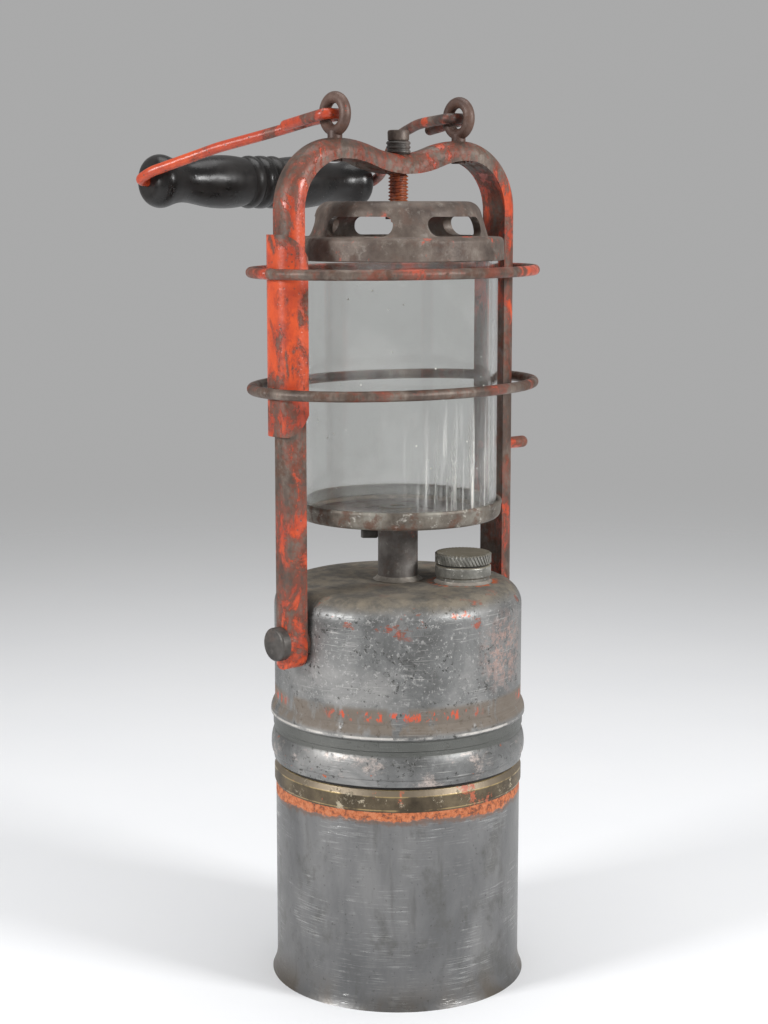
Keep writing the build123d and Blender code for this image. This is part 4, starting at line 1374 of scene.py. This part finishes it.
@dataclass
class HoodAndScrew(Assembly):
    """The cast hood and the screw that clamps it."""

    root: float = 3.35 * MM
    crest: float = 4.05 * MM
    pitch: float = 1.4 * MM
    flank: float = 0.22
    crest_low: float = 0.46
    crest_high: float = 0.62
    steps: int = 40
    tip_radius: float = 3.0 * MM
    nut_radius: float = 4.9 * MM
    nut_height: float = 4.95 * MM
    head_radius: float = 4.4 * MM
    head_height: float = 4.3 * MM

    def build(self, dark: Finish, fibre: Finish) -> None:
        """Dresses the hood and cuts the screw.

        Args:
            dark: The finish of the nut and collar.
            fibre: The finish of the gasket.
        """
        iron = Iron(
            "hood_iron",
            dark=(0.052, 0.037, 0.030),
            mid=(0.112, 0.086, 0.070),
            light=(0.205, 0.172, 0.145),
            rust=0.35,
            paint=0.6,
            paint_low=298 * MM,
            paint_high=317 * MM,
            inside=31.5 * MM,
            inside_top=320.2 * MM,
            pale=0.16,
            metal=0.35,
            rough=0.56,
            relief=0.24 * MM,
        ).make()
        self.dress(iron, "hood")
        self.dress(fibre, "hood_gasket")
        self.dress(dark, "tip_collar")
        painted = ChippedEnamel(
            "screw_paint",
            ((0.32, 0.42), (0.338, 0.46), (0.3415, 0.72), (0.36, 0.76)),
            under=(0.070, 0.050, 0.040),
            flake=150,
            bright=(0.44, 0.125, 0.036),
            deep=(0.30, 0.075, 0.026),
        ).make()
        self.fit(self.screw(), painted, Body.SCREW, "thread_paint", ("clamp_screw",))
        self.fit(self.nut(), dark, Body.SCREW, "dark_steel", ("lock_nut",))

    def screw(self) -> Piece:
        """The screw: a plain tip, a cut thread and a flat head.

        Returns:
            The screw as one piece.
        """
        low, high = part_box("clamp_screw")
        head_low = high.z - self.head_height
        thread_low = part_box("hood")[1].z + 0.15 * MM
        turns = math.ceil((head_low - thread_low) / self.pitch) + 3
        start = thread_low - 1.5 * self.pitch
        deselect()
        bpy.ops.mesh.primitive_circle_add(vertices=5, radius=MM, location=(0, 0, start))
        thread = bpy.context.object
        profile = (
            (self.root, 0.0),
            (self.root, self.flank),
            (self.crest, self.crest_low),
            (self.crest, self.crest_high),
            (self.root, 1.0),
        )
        for vertex, (radius, share) in zip(thread.data.vertices, profile):
            vertex.co = (radius, 0.0, share * self.pitch)
        with editing(Picks.EDGES):
            bpy.ops.mesh.select_all(action="DESELECT")
        last = len(profile) - 1
        for edge in thread.data.edges:
            edge.select = set(edge.vertices) == {0, last}
        thread.data.vertices[0].select = thread.data.vertices[last].select = True
        with editing():
            bpy.ops.mesh.delete(type="EDGE")
        wind = thread.modifiers.new("wind", "SCREW")
        wind.screw_offset = self.pitch
        wind.iterations = turns
        wind.steps = wind.render_steps = self.steps
        wind.use_smooth_shade = True
        bpy.ops.object.modifier_apply(modifier=wind.name)
        with editing():
            bpy.ops.mesh.select_all(action="SELECT")
            bpy.ops.mesh.remove_doubles(threshold=WELD)
            for level, below in ((thread_low, True), (head_low + 0.2 * MM, False)):
                bpy.ops.mesh.select_all(action="SELECT")
                bpy.ops.mesh.bisect(
                    plane_co=(0, 0, level),
                    plane_no=(0, 0, 1),
                    use_fill=True,
                    clear_inner=below,
                    clear_outer=not below,
                )
        tidy(thread)
        tip = turned(
            "tip",
            [
                (0.0, low.z),
                (self.tip_radius - 0.5 * MM, low.z),
                (self.tip_radius, low.z + 0.5 * MM),
                (self.tip_radius, thread_low + 0.1 * MM),
                (0.0, thread_low + 0.1 * MM),
            ],
            (0, 0, 0),
            48,
        )
        head = turned(
            "head",
            [
                (0.0, head_low),
                (self.head_radius - 0.5 * MM, head_low),
                (self.head_radius - 0.1 * MM, head_low + 0.4 * MM),
                (self.head_radius, high.z - 0.8 * MM),
                (self.head_radius - 0.3 * MM, high.z - 0.2 * MM),
                (self.head_radius - 0.9 * MM, high.z),
                (1.5 * MM, high.z - 0.1 * MM),
                (0.0, high.z - 0.35 * MM),
            ],
            (0, 0, 0),
            24,
        )
        return settle(joined("clamp_screw_cut", [thread, tip, head]))

    def nut(self) -> Piece:
        """The lock nut, a ring with three rounded ribs.

        Returns:
            The nut.
        """
        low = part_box("lock_nut")[0].z
        bore = self.crest + 0.05 * MM
        outline = [(bore, 0.0), (self.nut_radius - 0.5 * MM, 0.0)]
        ribs = 3
        for rib in range(ribs):
            base = self.nut_height * rib / ribs
            tall = self.nut_height / ribs
            outline += [
                (self.nut_radius - 0.40 * MM, base + 0.12 * tall),
                (self.nut_radius, base + 0.35 * tall),
                (self.nut_radius, base + 0.65 * tall),
                (self.nut_radius - 0.40 * MM, base + 0.88 * tall),
            ]
        outline += [(self.nut_radius - 0.5 * MM, self.nut_height), (bore, self.nut_height)]
        return turned("lock_nut_ribbed", outline, (0, 0, low), 64)


@dataclass
class YokeAndGuard(Assembly):
    """The painted yoke with its studs, eyelets, saddle and guard wires."""

    lump_seed: int = 40
    wire_inset: float = 2.1 * MM
    middle_blob: Point = (2.2 * MM, 3.6 * MM, 2.5 * MM)
    side_blob: Point = (1.5 * MM, 2.6 * MM, 1.9 * MM)
    side_gap: float = 5.2 * MM
    drip_count: int = 9
    drip_span: float = 38.0
    plate_height: float = 13.7 * MM
    arch_half: float = 32.5 * MM
    arch_rise: float = 5.7 * MM
    shoulder_radius: float = 20.2 * MM

    def build(self, dark: Finish) -> None:
        """Dresses the yoke and adds its brazing and paint drips.

        Args:
            dark: The finish of the studs.
        """
        yoke = ChippedEnamel(
            "yoke_enamel",
            (
                (0.135, 0.50),
                (0.155, 0.56),
                (0.172, 0.62),
                (0.197, 0.545),
                (0.215, 0.61),
                (0.235, 0.65),
                (0.300, 0.50),
                (0.320, 0.51),
                (0.337, 0.60),
            ),
        ).make()
        saddle = ChippedEnamel(
            "saddle_enamel",
            ((0.228, 0.51), (0.242, 0.44), (0.275, 0.42), (0.298, 0.44), (0.309, 0.54)),
            flake=120,
        ).make()
        wires = ChippedEnamel(
            "wire_enamel",
            ((0.245, 0.62), (0.255, 0.62), (0.29, 0.54), (0.30, 0.54)),
            flake=48,
            shift=(0.2, 0, 0),
        ).make()
        pin = ChippedEnamel(
            "pin_enamel", ((0.2, 0.50), (0.23, 0.50)), under=(0.16, 0.06, 0.035)
        ).make()
        worn = Iron(
            "worn_iron",
            dark=(0.034, 0.021, 0.018),
            mid=(0.085, 0.046, 0.034),
            light=(0.150, 0.095, 0.075),
            rust=0.6,
            paint=0.45,
            metal=0.2,
            rough=0.5,
        ).make()
        self.dress(yoke, "yoke")
        self.dress(worn, "eyelets", "stud_bosses")
        self.dress(dark, "pivot_studs")
        self.dress(pin, "side_pin")
        self.dress(saddle, "guard_saddle")
        self.dress(wires, "guard_ring_upper", "guard_ring_lower")
        self.fit(self.brazing(), wires, Body.TANK, "orange_enamel")
        self.fit(self.drips(), yoke, Body.TANK, "orange_enamel")

    def brazing(self) -> Piece:
        """The blobs that hold the two wires to the saddle.

        Returns:
            The blobs as one piece.
        """
        spots = []
        for name in ("guard_ring_upper", "guard_ring_lower"):
            low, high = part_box(name)
            level = (low.z + high.z) / 2
            reach = low.x + self.wire_inset
            spots.append(((reach + 0.3 * MM, 0.0, level), self.middle_blob))
            for side in (-1, 1):
                spots.append(((reach + 1.9 * MM, side * self.side_gap, level), self.side_blob))
        return lumps("saddle_brazing", spots, self.lump_seed)

    def drips(self) -> Piece:
        """Hardened paint drips along the underside of the yoke.

        Returns:
            The drips as one piece.
        """
        draw = random.Random(7)
        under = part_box("yoke")[1].z - self.plate_height
        spots = []
        for _ in range(self.drip_count):
            x = draw.uniform(-self.drip_span, self.drip_span) * MM
            share = min(1.0, abs(x) / self.arch_half)
            rise = self.arch_rise * (0.5 - 0.5 * math.cos(math.pi * share))
            if share >= 1.0:
                rise -= (abs(x) - self.arch_half) ** 2 / (2 * self.shoulder_radius)
            y = draw.choice((-1, 1)) * draw.uniform(2.0, 5.5) * MM
            size = draw.uniform(0.45, 0.9) * MM
            spots.append(((x, y, under + rise + 0.1 * MM), (size, size, 1.25 * size)))
        return lumps("paint_drips", spots, self.lump_seed + 20)


@dataclass
class Bail(Assembly):
    """The swinging bail and its grip."""

    def build(self) -> None:
        """Dresses the bail."""
        wire = ChippedEnamel(
            "bail_enamel",
            ((0.30, 0.36), (0.340, 0.38), (0.350, 0.44), (0.358, 0.50)),
            under=(0.065, 0.042, 0.035),
            flake=85,
            brown_side=0.14,
        ).make()
        self.dress(wire, "bail_wire")
        self.dress(BlackWood().make(), "bail_grip")


# ---------------------------------------------------------------- studio
@dataclass(frozen=True)
class Light:
    """A square lamp that looks at the middle of the object."""

    name: str
    ahead: float
    across: float
    up: float
    size: float
    power: float


@dataclass
class Studio:
    """The floor, the lights and the camera."""

    floor_size: float = 3.2
    lens: float = 68.06
    sensor: float = 36.0
    eye: Point = (-0.5119, -0.6011, 0.3194)
    bearing: float = math.radians(50.0)
    pitch: float = math.radians(8.95)
    wall_grey: float = 0.40
    middle_height: float = 0.18
    lights: tuple[Light, ...] = (
        Light("key", ahead=-0.50, across=0.85, up=0.42, size=0.26, power=9.0),
        Light("fill", ahead=-0.54, across=-0.85, up=0.38, size=0.26, power=8.0),
        Light("top", ahead=0.10, across=0.0, up=1.15, size=0.8, power=6.0),
    )

    def build(self) -> None:
        """Sets up the whole studio."""
        self.floor()
        self.world()
        self.camera()
        forward = Vector((math.cos(self.bearing), math.sin(self.bearing), 0))
        right = Vector((forward.y, -forward.x, 0))
        middle = Vector((0, 0, self.middle_height))
        for light in self.lights:
            lamp = bpy.data.lights.new(light.name, "AREA")
            lamp.size = light.size
            lamp.energy = light.power
            holder = bpy.data.objects.new(light.name, lamp)
            bpy.context.scene.collection.objects.link(holder)
            place = middle + light.ahead * forward + light.across * right
            place.z += light.up
            holder.location = place
            holder.rotation_euler = (middle - place).to_track_quat("-Z", "Y").to_euler()

    def floor(self) -> None:
        """A pale floor that fades into the wall's grey."""
        deselect()
        bpy.ops.mesh.primitive_circle_add(
            vertices=128, radius=self.floor_size / 2, fill_type="NGON"
        )
        floor = bpy.context.object
        floor.name = "studio_floor"
        g = Graph("studio_floor")
        tone = g.mix(g.noise(9, 3, 0.5), (0.80, 0.81, 0.83), (0.84, 0.845, 0.855))
        g.surface(tone, 0.75, 0.0, g.bump(g.noise(160, 3, 0.5), 0.05 * MM))
        g.feed(g.shader.inputs["Alpha"], g.fade(g.radius(), self.floor_size / 2, 0.32))
        floor.data.materials.append(g.material)

    def world(self) -> None:
        """A plain grey all round."""
        world = bpy.data.worlds.new("studio")
        world.use_nodes = True
        backdrop = world.node_tree.nodes["Background"]
        backdrop.inputs["Color"].default_value = (*[self.wall_grey] * 3, 1.0)
        backdrop.inputs["Strength"].default_value = 1.0
        bpy.context.scene.world = world
        bpy.context.scene.view_settings.view_transform = "Standard"

    def camera(self) -> None:
        """The camera, a little above the lamp's middle."""
        data = bpy.data.cameras.new("camera")
        data.lens = self.lens
        data.sensor_width = self.sensor
        holder = bpy.data.objects.new("camera", data)
        bpy.context.scene.collection.objects.link(holder)
        holder.location = self.eye
        holder.rotation_euler = Euler((math.pi / 2 - self.pitch, 0.0, self.bearing - math.pi / 2))
        bpy.context.scene.camera = holder


def main() -> None:
    """Builds the lamp's looks and the studio."""
    logging.basicConfig(level=logging.INFO)
    rubber = Soft("black_rubber", (0.018, 0.017, 0.016), (0.045, 0.042, 0.038)).make()
    fibre = Soft("fibre", (0.16, 0.13, 0.10), (0.33, 0.28, 0.22), 420, 0.85).make()
    dark = Iron(
        "dark_steel",
        dark=(0.028, 0.025, 0.023),
        mid=(0.064, 0.058, 0.053),
        light=(0.125, 0.116, 0.107),
        rust=0.25,
        pale=0.12,
        metal=0.6,
        rough=0.46,
    ).make()
    CarbideCan().build(rubber)
    WaterTank().build(rubber, fibre)
    FlameChamber().build(dark, fibre)
    HoodAndScrew().build(dark, fibre)
    YokeAndGuard().build(dark)
    Bail().build()
    Studio().build()


if __name__ == "__main__":
    main()
